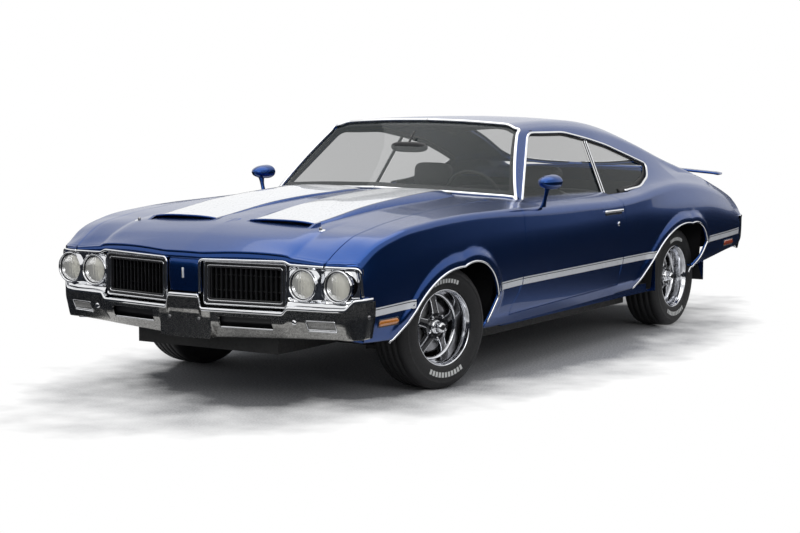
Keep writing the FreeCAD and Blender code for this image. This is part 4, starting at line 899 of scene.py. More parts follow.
def windshield_edge():
    """Left half of the glass outline, from the middle of the base round to the middle of the top."""
    base = []
    for x in np.linspace(0, 780, 40):
        z = 950.0
        for _ in range(6):
            y = pane_y(x, z)
            z = float(top_z(x, y)[0]) + 5
        base.append((x, y, z))
    side = []
    for z in np.linspace(base[-1][2] - 25, 1290, 40):
        x = 700.0
        for _ in range(12):
            y = pane_y(x, z)
            x = float(cabin_x(y, z)[0]) - 12
        side.append((x, y, z))
    top = []
    for x in np.linspace(590, 0, 40):
        z = 1290.0
        for _ in range(12):
            y = pane_y(x, z)
            z = float(cabin_z(x, y)[0]) - 8
        top.append((x, y, z))
    side = [p for p in side if p[2] > base[-1][2] - 30 and p[2] < top[0][2] - 4 and p[0] > top[0][0]]
    base = [p for p in base if p[0] < side[0][0] - 4]
    return softened(base + side + top, 30)


wind_edge = resample(windshield_edge(), 12)
wind_full = np.vstack([wind_edge, wind_edge[::-1] * [-1, 1, 1]])


def windshield_normal(p):
    x, _, z = p
    n = np.array([-(pane_y(x - 5, z) - pane_y(x + 5, z)) / 10, -1.0,
                  (pane_y(x, z + 5) - pane_y(x, z - 5)) / 10])
    return n / np.linalg.norm(n)


edge_normals = np.array([windshield_normal(p) for p in wind_edge])
sweep("windshield_moulding", wind_edge + edge_normals * 3, edge_normals, half_round(9, 7), CHROME)
pane_x, pane_z = np.meshgrid(np.linspace(-800, 800, 110), np.linspace(900, 1345, 60), indexing="ij")
glass_grid = np.stack([pane_x, windshield_y(pane_x, pane_z) + 10, pane_z], axis=2)
wind_outline = [(p[0], p[2]) for p in wind_full]
glass_keep = outline_distance(pane_x, pane_z, wind_outline) + 2
glass_normals = grid_normals(glass_grid)
cut_piece("windshield_glass", glass_grid, glass_normals, glass_keep, GLASS, nodes=["windshield"],
          mirror=False)
band_keep = np.maximum(glass_keep, -glass_keep - 26)
band = glass_grid.copy()
band[:, :, 1] += 5
cut_piece("windshield_band", band, glass_normals, band_keep, SEAL, mirror=False)

# Side glass.
DOOR_GLASS = [(at("F", 872), 895), (at("F", 1252), 1260), (at("R", -1150), 1254), (at("R", -892), 1215),
              (at("R", -958), 870), (at("F", 872), 870)]
QUARTER_GLASS = [(at("R", -925), 880), (at("R", -858), 1211), (at("R", -590), 1164),
                 (at("R", -342), 1097), (at("R", -120), 1033), (at("R", -242), 961),
                 (at("R", -472), 909), (at("R", -700), 888), (at("R", -760), 880)]
glass_y, glass_z = np.meshgrid(np.linspace(at("F", 860), at("R", -100), 130), np.linspace(860, 1275, 60),
                               indexing="ij")
glass_x = cabin_x(glass_y.ravel(), glass_z.ravel()).reshape(glass_y.shape)
side_glass = np.stack([glass_x - 16, glass_y, glass_z], axis=2)
side_normals = grid_normals(side_glass)
for name, outline, bodies, nodes in (
        ("door_pane", DOOR_GLASS, DOORS, ["door_glass_left", "door_glass_right"]),
        ("quarter_pane", QUARTER_GLASS, "body", ["quarter_windows"])):
    soft = [tuple(p) for p in softened(outline, 20, closed=True)]
    keep = outline_distance(glass_y, glass_z, soft)
    cut_piece(name, side_glass, side_normals, keep, GLASS, bodies, nodes)


def skin_x(y, z):
    """x of the joined skin at one (y, z)."""
    ring = joined[int(np.argmin(np.abs(cabin_stations - y))), SIDE_COUNT - 3:]
    k = int(np.argmax(ring[:, 2] >= z))
    if k == 0:
        return -1.0
    t = (z - ring[k - 1, 2]) / (ring[k, 2] - ring[k - 1, 2] + 1e-9)
    return ring[k - 1, 0] * (1 - t) + ring[k, 0] * t if y > at("R", -900) else -1.0


def cabin_path(line, stand=0.0, on_skin=False):
    line = np.array(line, float)
    y, z = line[:, 0], line[:, 1]
    x = np.maximum(cabin_x(y, z), [skin_x(*p) for p in line]) if on_skin else cabin_x(y, z)
    dx_y = (cabin_x(y + 4, z) - cabin_x(y - 4, z)) / 8
    dx_z = (cabin_x(y, z + 4) - cabin_x(y, z - 4)) / 8
    n = np.stack([np.ones(len(line)), -dx_y, -dx_z], axis=1)
    n /= np.linalg.norm(n, axis=1, keepdims=True)
    return np.column_stack([x, y, z]) + n * stand, n


upper = [(at("F", 874), 905), (at("F", 1252), 1260), (at("R", -1150), 1254), (at("R", -850), 1210),
         (at("R", -590), 1162), (at("R", -340), 1095), (at("R", -118), 1031), (at("R", -242), 961),
         (at("R", -472), 909), (at("R", -700), 896)]
upper = resample(softened(upper, 55), 14)
path, normal = cabin_path(upper, 1.0, on_skin=True)
sweep("side_window_moulding", path, normal, half_round(8, 6), CHROME)
path, normal = cabin_path(upper, -9.0)
sweep("side_window_seal", path, normal, half_round(17, 3), SEAL)
for name, shift, width, mat in (("divider", 0, 13, SEAL), ("divider_bright", 17, 4, CHROME),
                                ("divider_edge", -13, 3, CHROME)):
    line = resample([(at("R", -940) + shift, 886), (at("R", -876) + shift, 1205)], 20)
    path, normal = cabin_path(line, -8.0 if mat is SEAL else -5.0)
    sweep(f"window_{name}", path, normal, half_round(width, 5), mat)
rear_path = resample(softened([(x, y) for x, y in REAR_GLASS[1:4]] + [(0, at("R", 300))], 60), 16)
rear_half = np.vstack([resample([(0, at("R", -372)), (455, at("R", -358))], 16)[:-1], rear_path])
rear_half = softened(rear_half[::4], 30)
path = np.column_stack([rear_half, cabin_z(rear_half[:, 0], rear_half[:, 1]) + 1])
normal = [0, 0.35, 0.93]
sweep("rear_window_moulding", path, normal, half_round(9, 6), CHROME)
rear_x, rear_y = np.meshgrid(np.linspace(-530, 530, 70), np.linspace(at("R", -385), at("R", 305), 60),
                             indexing="ij")
rear_z = cabin_z(rear_x.ravel(), rear_y.ravel()).reshape(rear_x.shape) - 10
rear_grid = np.stack([rear_x, rear_y, rear_z], axis=2)
cut_piece("rear_glass", rear_grid, grid_normals(rear_grid), outline_distance(rear_x, rear_y, rear_soft),
          GLASS, nodes=["rear_window"], mirror=False)


def grid_piece(name, grid, mat, body="body", mirror=True, slot=None, picks=None, wrap_i=False, wrap_j=False,
               nodes=(), turn=False):
    """Piece from a grid of points; wrap joins the last row or column to the first."""
    grid = np.asarray(grid, float)
    rows, cols = grid.shape[:2]
    faces, marks = [], []
    for i in range(rows if wrap_i else rows - 1):
        for j in range(cols if wrap_j else cols - 1):
            i2, j2 = (i + 1) % rows, (j + 1) % cols
            face = [i * cols + j, i2 * cols + j, i2 * cols + j2, i * cols + j2]
            faces.append(face[::-1] if turn else face)
            marks.append(int(picks(i, j)) if picks else 0)
    points = grid.reshape(-1, 3)
    if mirror:
        made = pair(name, points, faces, mat, body, slot=slot, picks=marks)
    else:
        made = [mesh_piece(name, points, faces, mat, body, slot=slot, picks=marks)]
    for obj, node in zip(made, nodes):
        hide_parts(node)
    return made


def smoothed(values, passes=2):
    out = np.array(values, float)
    for _ in range(passes):
        out[1:-1] = (out[:-2] + 2 * out[1:-1] + out[2:]) / 4
    return out


# ---------------------------------------------------------------- bumpers
# Columns: x, set-back from the end of the car, top z, bottom z.
FRONT_BUMPER = [(0, 0, 541, 324), (92, 1, 541, 326), (106, 2, 478, 326), (545, 59, 478, 343),
                (566, 63, 506, 344), (790, 104, 505, 350), (852, 131, 506, 351), (884, 152, 546, 352),
                (925, 205, 551, 354), (932, 250, 552, 356)]
REAR_BUMPER = [(0, 0, 640, 416), (600, 16, 640, 416), (780, 46, 642, 415), (852, 90, 645, 412),
               (884, 150, 646, 410), (892, 210, 640, 420)]
# Section: depth behind the plan line, then height as a distance from the top or a share of the whole.
BUMPER_LIP = [(30, 3), (14, 0), (5, 2), (1, 8), (0.5, 14), (3, 18), (5, 21)]
BUMPER_FACE = [(6, 0.66), (8, 0.54), (16, 0.44), (32, 0.30), (48, 0.15), (62, 0.03), (70, 0.0),
               (84, 0.06), (58, 0.33), (34, 0.55), (27, 0.80)]


def bumper_grid(rows, end_y, way, seat):
    line = resample(rows, 5.0)
    line[:, 2:] = smoothed(line[:, 2:], 3)
    line[:, :2] = smoothed(line[:, :2], 6)
    tangent = np.gradient(line[:, :2], axis=0)
    inward = np.stack([-tangent[:, 1], tangent[:, 0]], axis=1)
    inward /= np.linalg.norm(inward, axis=1, keepdims=True)
    grid = []
    for (x, back, top, low), (ix, iy) in zip(line, inward):
        ring = [(d, top - drop) for d, drop in BUMPER_LIP]
        ring += [(d, low + (top - low) * share) for d, share in BUMPER_FACE]
        points = []
        for k, (d, z) in enumerate(ring):
            if seat and abs(x) < seat[0] and seat[1] < z < seat[2] and 6 < k < 14:
                d = seat[3]
            d *= float(np.interp(x, [0, 800, 890], [1, 1, 0.35]))
            points.append((max(x + ix * d, 0) if x > 1 else 0.0, end_y + way * (back + iy * d), z))
        grid.append(points)
    return np.array(grid)


SLOT = (199, 486, 391, 442)
PARKING = (655, 806, 394, 446)


def rounded_box(u, v, x0, x1, z0, z1, radius):
    """Signed distance to a rectangle with rounded corners."""
    du = np.abs(u - (x0 + x1) / 2) - (x1 - x0) / 2 + radius
    dv = np.abs(v - (z0 + z1) / 2) - (z1 - z0) / 2 + radius
    return np.minimum(np.maximum(du, dv), 0) + np.hypot(np.maximum(du, 0), np.maximum(dv, 0)) - radius


def refined(grid, factor):
    """More columns along a section."""
    rows, cols = grid.shape[:2]
    keys = np.arange(cols)
    fine = np.concatenate([np.linspace(k, k + 1, factor, endpoint=False) for k in range(cols - 1)]
                          + [[cols - 1]])
    return np.stack([np.stack([np.interp(fine, keys, grid[i, :, c]) for c in range(3)], axis=1)
                     for i in range(rows)])


front_ring = refined(bumper_grid(FRONT_BUMPER, NOSE_Y, 1, (156, 300, 447, 15)), 4)
lip_end = (len(BUMPER_LIP) - 2) * 4
lip_part, face_part, back_part = (front_ring[:, :lip_end + 1], front_ring[:, lip_end:13 * 4 + 1],
                                  front_ring[:, 13 * 4:])
grid_piece("front_bumper_lip", lip_part, CHROME, nodes=["front_bumper"])
u, v = face_part[:, :, 0], face_part[:, :, 2]
cuts = np.minimum(rounded_box(u, v, *SLOT, 7), rounded_box(u, v, *PARKING, 6))
cut_piece("front_bumper_face", face_part, grid_normals(face_part), -cuts, BUMPER_CHROME_PAINTED_REFLECTION,
          depth=22.0, way=(0, 1, 0))
grid_piece("front_bumper_back", back_part, SATIN_BLACK, slot="chrome")


def bumper_y(x, z):
    """y of the bumper's face at (x, z)."""
    i = int(np.argmin(np.abs(face_part[:, 8, 0] - x)))
    order = np.argsort(face_part[i, :, 2])
    return float(np.interp(z, face_part[i, order, 2], face_part[i, order, 1]))


def box_ring(x0, x1, z0, z1, out):
    ring = softened([(x0, z0), (x1, z0), (x1, z1), (x0, z1)], 7, closed=True)
    return np.array([(x, bumper_y(x, z) - out, z) for x, z in ring])


for name, (x0, x1, z0, z1) in (("slot", SLOT), ("parking", PARKING)):
    deep = 58 if name == "slot" else 20
    panes = [[(x, bumper_y(x, z) + deep * (0.5 if name == "parking" else 1), z)
              for z in np.linspace(z0 - 2, z1 + 2, 5)] for x in np.linspace(x0 - 2, x1 + 2, 9)]
    grid_piece(f"bumper_{name}_back", panes, DEEP_BLACK if name == "slot" else CLEAR_LENS,
               nodes=["marker_lamps"] if name == "parking" else [])
    low_line = [(x, bumper_y(x, z0) - 0.5, z0 - 3) for x in np.linspace(x0 + 5, x1 - 5, 24)]
    sweep(f"bumper_{name}_lip", low_line, [0, -0.94, 0.34], half_round(4, 3), CHROME)
    if name == "parking":
        ring = box_ring(x0 + 4, x1 - 4, z0 + 4, z1 - 4, -4)
        sweep("parking_frame", ring, [0, -1, 0], half_round(3.5, 3), CHROME, closed=True)
        ribs = []
        for x in np.linspace(x0 + 12, x1 - 12, 15):
            line = [(x, bumper_y(x, z) + 9, z) for z in (z0 + 8, (z0 + z1) / 2, z1 - 8)]
            sweep(f"parking_rib_{len(ribs)}", line, [0, -1, 0], half_round(2.6, 2),
                  CLEAR_LENS)
            ribs.append(x)


def bolt_head(name, centre, normal, radius, rise, mat, body):
    """Low domed head with a rounded rim."""
    n = np.array(normal, float) / np.linalg.norm(normal)
    a = np.cross(n, [0, 0, 1.0])
    a /= np.linalg.norm(a)
    b = np.cross(a, n)
    profile = [(1.0, -1.0), (1.0, 0.2), (0.92, 0.6), (0.7, 0.9), (0.35, 1.0), (0.001, 1.04)]
    grid = []
    for t in around(24):
        way = a * math.cos(t) + b * math.sin(t)
        grid.append([np.array(centre) + way * radius * r + n * rise * h for r, h in profile])
    grid_piece(name, grid, mat, body, wrap_i=True)


bolt_head("plate_bolt", (89, NOSE_Y + 15, 420), (0, -1, 0), 8, 5, STEEL, "body")
bolt_head("bumper_bolt", (600, bumper_y(600, 430), 430), (-0.2, -1, -0.1), 13, 6, CHROME, "body")
bolt_head("bumper_end_bolt", (926, NOSE_Y + 222, 462), (1, -0.25, 0), 9, 5, STEEL, "body")

rear_ring = refined(bumper_grid(REAR_BUMPER, TAIL_Y, -1, None), 3)
grid_piece("rear_bumper_skin", rear_ring, [CHROME, BUMPER_CHROME_PAINTED_REFLECTION], wrap_j=True,
           turn=True, picks=lambda i, j: 0 if j < 3 * 7 or j > 3 * 12 else 1, nodes=["rear_bumper"])

# ---------------------------------------------------------------- nose: lip, mouldings, beak
def nose_height(x):
    """z of the bright moulding across the nose."""
    return np.interp(np.abs(x), [0, 108, 548, 574, 860, 960], [706, 706, 713, 699, 693, 690])


lip_rows = []
for x in np.linspace(0, 902, 150):
    y = float(nose_line(x))
    top = float(top_z(x, y + 22)[0])
    low = float(nose_height(x))
    lip_rows.append([(x, y + 24, top + 1), (x, y + 12, top - 4), (x, y + 4, top - 13),
                     (x, y, (top - 16) * 0.6 + low * 0.4), (x, y, low), (x, y + 30, low)])
lip_rows = np.array(lip_rows)
inner_count = int(np.searchsorted(lip_rows[:, 0, 0], 752))
grid_piece("hood_front_lip", lip_rows[:inner_count], PAINT, "hood_lid")
grid_piece("fender_front_lip", lip_rows[inner_count + 1:], PAINT)

top_line = [(100, NOSE_Y + 8, 545), (100, NOSE_Y + 8, 706), (548, float(nose_line(548)) - 1, 713),
            (574, float(nose_line(574)) - 1, 699), (752, float(nose_line(752)) - 1, 695.5)]
line = resample(softened(top_line, 22), 7)
sweep("nose_moulding", line, [0, -1, 0.05], half_round(6.5, 7), CHROME, "hood_lid")
corner = [(760, float(nose_line(760)) - 1, 695), (850, float(nose_line(850)) - 1, 693),
          (906, NOSE_Y + 176, 690), (912, NOSE_Y + 190, 560)]
line = resample(softened(corner, 26), 7)
blend = np.linspace(0, 1, len(line))[:, None]
sweep("corner_moulding", line, np.array([[0, -1, 0.05]]) * (1 - blend) + np.array([[0.75, -0.6, 0]]) * blend,
      half_round(6.5, 7), CHROME)

# Columns: y from the nose, z, half width of the beak.
BEAK = [(18, 548, 98), (12, 600, 98), (9, 650, 98), (11, 690, 98), (20, 716, 100), (42, 742, 102),
        (90, 772, 98), (170, 806, 84), (300, 846, 60), (430, 873, 40)]
beak_line = resample(smooth_table(range(len(BEAK)), BEAK)(np.linspace(0, len(BEAK) - 1, 60)), 9)
beak_rows = []
for dy, z, half in beak_line:
    row = []
    for t in np.linspace(-1, 1, 29):
        x = half * t
        edge = abs(t) ** 10
        if dy < 30 or z < 725:
            row.append((x, NOSE_Y + dy + 14 * edge, z))
        else:
            ground_z = float(top_z(x, NOSE_Y + dy)[0])
            share = min(1.0, (dy - 20) / 60)
            row.append((x, NOSE_Y + dy + 14 * edge * (1 - share),
                        max(z - 8 * edge, ground_z + 7 * (1 - t * t) ** 2 + 0.6)))
    beak_rows.append(row)
grid_piece("beak", beak_rows, PAINT, "hood_lid", mirror=False, turn=True)
badge = softened([(-4, 612), (4, 612), (5, 662), (-5, 662)], 3, closed=True)
badge_front = [(x, NOSE_Y + 5, z) for x, z in badge]
badge_back = [(x, NOSE_Y + 12, z) for x, z in badge]
n = len(badge)
mesh_piece("beak_bar", badge_front + badge_back,
           [list(range(n))] + [[j, j + n, (j + 1) % n + n, (j + 1) % n] for j in range(n)], STRIPE,
           "hood_lid", slot="chrome")

# ---------------------------------------------------------------- grilles
GRILLE = (108.0, 552.0, 486.0, 706.0)


def grille_point(x, depth, z):
    return (x, NOSE_Y + 22 + (x - 108) / 444 * 70 + depth, z)


grille_normal = np.array([0.155, -0.988, 0])
# Frames of the grille from the outside in. The last satin black one, named shade, is painted shade cast by
# the frame onto the grille.
for name, inset, width, rise, mat in (("outer", 7, 5, 6, CHROME), ("dark", 15, 8, 3, SATIN_BLACK),
                                      ("inner", 25, 3, 5, CHROME), ("shade", 31, 5, 2, SATIN_BLACK)):
    ring = softened([(GRILLE[0] + inset, GRILLE[2] + inset), (GRILLE[1] - inset, GRILLE[2] + inset),
                     (GRILLE[1] - inset, GRILLE[3] - inset), (GRILLE[0] + inset, GRILLE[3] - inset)], 14,
                    closed=True)
    path = [grille_point(x, 4, z) for x, z in ring]
    made = sweep(f"grille_frame_{name}", path, grille_normal,
                 half_round(width, rise, 10), mat, closed=True)
    if name == "outer":
        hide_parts("grilles")
back = [[grille_point(x, 44, z) for z in (490, 600, 702)] for x in np.linspace(112, 548, 5)]
grid_piece("grille_back", back, DEEP_BLACK)
for k in range(15):
    x = 146 + k * (514 - 146) / 14
    section = [(-2.2, 0), (-1.6, -3), (0, -4), (1.6, -3), (2.2, 0), (1.6, 24), (-1.6, 24)]
    bar = [[grille_point(x + dx, 14 + dy, z) for dx, dy in section] for z in (516, 600, 676)]
    grid_piece(f"grille_bar_{k}", bar, SATIN_BLACK, wrap_j=True)
for k, z in enumerate((560, 634)):
    line = [grille_point(x, 30, z) for x in np.linspace(140, 520, 12)]
    sweep(f"grille_rail_{k}", line, grille_normal, half_round(3, 3, 3), SATIN_BLACK)

# ---------------------------------------------------------------- headlamps
LAMPS = (636.0, 816.0)
LAMP_Z = 607.0
LAMP_Y = NOSE_Y + 134
LENS_R, BOWL_R = 66, 64


def plate_y(x):
    return np.interp(x, [552, 700, 756, 846, 905], [NOSE_Y + 98, NOSE_Y + 108, NOSE_Y + 114,
                                                    NOSE_Y + 146, NOSE_Y + 200])


# The plate's sides and the rounding of its corners; the opening round each lamp.
LAMP_PLATE, PLATE_CORNER, LAMP_OPENING_R = (556, 903, 527, 689), 20, 73.0
px, pz = np.meshgrid(np.linspace(*LAMP_PLATE[:2], 150), np.linspace(*LAMP_PLATE[2:], 70), indexing="ij")
fold = 10 * np.clip(1 - np.abs(px - 726) / 26, 0, 1)
rim = np.minimum(np.hypot(px - LAMPS[0], pz - LAMP_Z), np.hypot(px - LAMPS[1], pz - LAMP_Z))
swell = 12 * np.clip((rim - 70) / 26, 0, 1) ** 0.7
frame_in = -rounded_box(px, pz, *LAMP_PLATE, PLATE_CORNER)
swell = swell * np.clip(frame_in / 10, 0, 1)
plate = np.stack([px, plate_y(px) + swell + fold * 0.6 - 6, pz], axis=2)
plate_keep = np.maximum(LAMP_OPENING_R - rim, rounded_box(px, pz, *LAMP_PLATE, PLATE_CORNER))
cut_piece("lamp_plate", plate, grid_normals(plate), plate_keep, CHROME, nodes=["headlamp_bezels"],
          depth=22.0, way=(0, 1, 0))
# Round each lens are a chrome ring, a satin black ring and a chrome seat. The black ring, named shade, is
# painted shade cast by the deep bezel onto the lens's edge.
for k, x in enumerate(LAMPS):
    turn = around(64)
    for name, radius, depth, width, rise, mat in (("ring", 74, -9, 4.5, 6, CHROME),
                                                  ("shade", 69, -2, 4, 3, SATIN_BLACK),
                                                  ("seat", 65.5, 0, 3, 3, CHROME)):
        y0 = min(float(plate_y(x)), LAMP_Y - 4)
        circle = np.stack([x + radius * np.cos(turn), np.full(len(turn), y0 + depth),
                           LAMP_Z + radius * np.sin(turn)], axis=1)
        sweep(f"lamp_{name}_{k}", circle, [0, -1, 0], half_round(width, rise, 24), mat, closed=True)
    dome = []
    for t in turn:
        dome.append([(x + LENS_R * r * math.cos(t),
                      y0 + 2 - 12 * (1 - r * r) + 0.5 * math.cos(26 * r * math.cos(t)),
                      LAMP_Z + LENS_R * r * math.sin(t)) for r in np.linspace(0.001, 1, 14)])
    grid_piece(f"lamp_lens_{k}", dome, LENS, wrap_i=True,
               nodes=["headlamps"] if k == 0 else [])
    bowl = []
    for t in turn:
        bowl.append([(x + BOWL_R * r * math.cos(t), y0 + 6 + 30 * (1 - r * r),
                      LAMP_Z + BOWL_R * r * math.sin(t)) for r in np.linspace(0.001, 1, 12)])
    grid_piece(f"lamp_bowl_{k}", bowl, REFLECTOR, wrap_i=True)
surround = softened([(552, 523), (905, 523), (905, 692), (552, 696)], 16, closed=True)
path = [(x, float(plate_y(x)) - 2, z) for x, z in surround]
sweep("lamp_surround", path, [0, -1, 0], half_round(4, 3), SATIN_BLACK,
      closed=True)
ledge = []
for x in np.linspace(556, 905, 40):
    y = float(plate_y(x))
    front_y = NOSE_Y + float(np.interp(x, [r[0] for r in FRONT_BUMPER], [r[1] for r in FRONT_BUMPER])) + 22
    step_y = min(front_y, y - 8)
    ledge.append([(x, y + 6, 529), (x, y - 6, 522), (x, step_y, 508), (x, step_y, 500)])
grid_piece("lamp_ledge", ledge, CHROME)

# ---------------------------------------------------------------- side trim
for k, line in enumerate(ARCHES):
    trim = np.array([p for p in resample(line, 12) if p[1] > 300])
    path, normal = side_path(trim)
    sweep(f"arch_moulding_{k}", path, normal, half_round(6, 6), CHROME)

STRIPE_LOW = [(-2330, 454), (-2085, 462), (-1928, 466), (-1152, 464), (-851, 472), (858, 475),
              (1705, 506), (2336, 521)]
stripe_keys, stripe_values = np.array(STRIPE_LOW, float).T


def shut_y(line, z, gap):
    return float(np.interp(z, [p[1] for p in line][::-1], [p[0] for p in line][::-1])) + gap


SPANS = [("front", -2322, at("F", -446), "body"),
         ("fender", at("F", 396), shut_y(DOOR_FRONT, 490, -1), "body"),
         ("door", shut_y(DOOR_FRONT, 490, SHUT_GAP + 1), shut_y(DOOR_REAR, 500, -SHUT_GAP - 1),
          DOORS),
         ("quarter", shut_y(DOOR_REAR, 500, 1), at("R", -452), "body"),
         ("rear", at("R", 358), 2336, "body")]
for part_name, y0, y1, bodies in SPANS:
    for band, low, high, mat in (("white", 0, 30, STRIPE), ("dark", 30, 34.5, STRIPE_EDGE),
                                 ("thin", 34.5, 41, STRIPE)):
        rows = []
        for y in np.linspace(y0, y1, max(8, int((y1 - y0) / 25))):
            base = float(np.interp(y, stripe_keys, stripe_values))
            rows.append([(y, base + low + (high - low) * t) for t in (0, 0.5, 1)])
        flat_line = np.array(rows).reshape(-1, 2)
        path, normal = side_path(flat_line)
        grid_piece(f"side_stripe_{part_name}_{band}", (path + normal * 0.9).reshape(len(rows), 3, 3), mat,
                   bodies, slot="body_paint")

# ---------------------------------------------------------------- wheels and tyres
def wheel_place(points, side, axle_y):
    """Wheel points (outward, back, up from the axle) to the car; the front pair stands turned."""
    points = np.array(points, float)
    out = np.stack([side * (TRACK_HALF + points[:, 0]), axle_y + points[:, 1], AXLE_Z + points[:, 2]], axis=1)
    if axle_y == FA:
        t = math.radians(STEER_REST)
        dx, dy = out[:, 0] - side * KINGPIN_X, out[:, 1] - FA
        out[:, 0] = side * KINGPIN_X + dx * math.cos(t) - dy * math.sin(t)
        out[:, 1] = FA + dx * math.sin(t) + dy * math.cos(t)
    return out


WHEELS = [("front_left", 1, FA, "wheel_fl"), ("front_right", -1, FA, "wheel_fr"),
          ("rear_left", 1, RA, "wheel_rl"), ("rear_right", -1, RA, "wheel_rr")]


def on_wheels(name, points, faces, mat, slot=None, picks=None, node=None, flat=False):
    """One piece on each wheel."""
    for end, side, axle_y, body in WHEELS:
        placed = wheel_place(points, side, axle_y)
        kept = faces if side > 0 else [f[::-1] for f in faces]
        obj = mesh_piece(f"{name}_{end}", placed, kept, mat, body, slot=slot, picks=picks, flat=flat)
        if node:
            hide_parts(f"{node}_{end}")


def turned(profile, count):
    """Ring from (outward, radius) points."""
    points = [(x, r * math.sin(t), r * math.cos(t)) for t in around(count) for x, r in profile]
    k = len(profile)
    faces = []
    for i in range(count):
        m = (i + 1) % count
        faces += [[i * k + j, m * k + j, m * k + j + 1, i * k + j + 1] for j in range(k - 1)]
    return points, faces


def turned_on_wheels(name, profile, count, mat, slot=None, node=None):
    """The same ring on each wheel."""
    points, faces = turned(profile, count)
    on_wheels(name, points, faces, mat, slot, node=node)


RIM = [(18, 160), (19, 168), (30, 171), (60, 176), (84, 180), (92, 184), (98, 187.5), (103, 189),
       (106, 191.5), (107, 194), (105, 196.5), (100, 197.5), (96, 193), (90, 184), (40, 181), (-92, 182),
       (-100, 190), (-104, 196), (-107, 193), (-100, 184), (-88, 174), (10, 168), (18, 160)]
turned_on_wheels("rim", RIM, 96, POLISHED, node="wheel")

SPOKES = 5


def spoke_half(r):
    """Half width of a spoke at a radius."""
    return np.interp(r, [40, 80, 130, 150, 169], [30, 21, 20, 25, 38])


def spoke_face(r):
    """How far outward a spoke stands at a radius."""
    return np.interp(r, [30, 55, 70, 120, 169], [44, 46, 44, 30, 14])


radii = np.linspace(30, 169, 60)
turns = np.linspace(0, 2 * math.pi, 401)
tt, rr = np.meshgrid(turns, radii, indexing="ij")
phase = np.abs((tt / (2 * math.pi) * SPOKES + 0.5) % 1 - 0.5) * 2 * math.pi / SPOKES
from_spoke = rr * np.sin(phase)
half_spoke = spoke_half(rr)
opening = np.minimum(from_spoke - half_spoke, np.minimum(rr - 66, 158 - rr))
ridge = np.clip(1 - from_spoke / half_spoke, 0, 1)
height = spoke_face(rr) + 5.5 * np.sqrt(ridge) * np.interp(rr, [45, 70, 150, 166], [0, 1, 1, 0])
spokes = np.stack([height, rr * np.sin(tt), rr * np.cos(tt)], axis=2)
points, norms, faces = clip_grid(spokes, grid_normals(spokes), opening)
face_count = len(faces)
points, norms, faces = with_flange(points, norms, faces, 24.0, way=(-1, 0, 0))
edge_picks = [1, 0] * ((len(faces) - face_count) // 2)
on_wheels("spokes", points, [f[::-1] for f in faces] if norms[0][0] < 0 else faces, [WHEEL_GREY, POLISHED],
          picks=[0] * face_count + edge_picks)
EDGE_PATHS = []
for k in range(SPOKES):
    for way in (-1, 1):
        line = []
        for r in np.linspace(72, 152, 14):
            half = float(spoke_half(r)) - 2
            t = k * 2 * math.pi / SPOKES + way * math.asin(half / r)
            x = float(spoke_face(r)) + 1.0
            line.append((x, r * math.sin(t), r * math.cos(t)))
        EDGE_PATHS.append(line)
for k, line in enumerate(EDGE_PATHS):
    line = np.array(line)
    tangent = np.gradient(line, axis=0)
    tangent /= np.linalg.norm(tangent, axis=1, keepdims=True)
    side = np.cross(tangent, [1.0, 0, 0])
    ring = [(2.6, -3), (2.6, 0.4), (1.4, 1.6), (-1.4, 1.6), (-2.6, 0.4), (-2.6, -3)]
    pts = np.stack([line + side * s + np.array([o, 0, 0]) for s, o in ring], axis=1).reshape(-1, 3)
    fcs = [[i * 6 + j, i * 6 + (j + 1) % 6, (i + 1) * 6 + (j + 1) % 6, (i + 1) * 6 + j]
           for i in range(13) for j in range(6)]
    on_wheels(f"spoke_edge_{k}", pts, fcs, POLISHED)
HUB_CAP = [(40, 36), (52, 35), (55, 31), (56, 28), (72, 27), (86, 26), (92, 23), (95, 18), (97, 10),
           (97.5, 0.01)]
turned_on_wheels("hub_cap", HUB_CAP[::-1], 48, CHROME)
CAP_DISC = [(98.6, 0.01), (98.4, 8), (97.6, 13), (96.4, 15)]
turned_on_wheels("hub_disc", CAP_DISC, 40, SATIN_BLACK)
NUT_CIRCLE_R = 60
nut_points, nut_faces = [], []
for k in range(SPOKES):
    t0 = (k + 0.5) * 2 * math.pi / SPOKES
    cy, cz = NUT_CIRCLE_R * math.sin(t0), NUT_CIRCLE_R * math.cos(t0)
    base = len(nut_points)
    for x, r in ((44, 10), (58, 10), (62, 7), (63, 2)):
        nut_points += [(x, cy + r * math.sin(a), cz + r * math.cos(a))
                       for a in around(6)]
    for i in range(3):
        nut_faces += [[base + i * 6 + j, base + i * 6 + (j + 1) % 6, base + i * 6 + 6 + (j + 1) % 6,
                       base + i * 6 + 6 + j][::-1] for j in range(6)]
    nut_faces.append([base + 18 + j for j in range(6)][::-1])
on_wheels("lug_nuts", nut_points, nut_faces, CHROME, flat=True)
DRUM = [(8, 30), (10, 120), (2, 138), (-30, 140), (-34, 60), (-34, 30)]
turned_on_wheels("brake_drum", DRUM[::-1], 60, STEEL, "chassis_steel")

# Tyre section: outward, radius.  The tread has four grooves.
TYRE = [(88, 187), (97, 198.2), (104, 199), (108.5, 201), (110.5, 205), (115, 222), (117, 246),
        (116.5, 262), (114, 276), (114.6, 277), (114.2, 279), (108, 291), (104, 298), (98, 304.5), (92, 309),
        (88, 310.5), (80, 312.5), (64, 314), (62, 306), (56, 306), (54, 314.4), (26, 315), (24, 306.5),
        (17, 306.5), (15, 315)]
TYRE = TYRE + [(-x, r) for x, r in TYRE[::-1]]
turned_on_wheels("tyre_body", TYRE[::-1], 120, RUBBER, node="tyre")
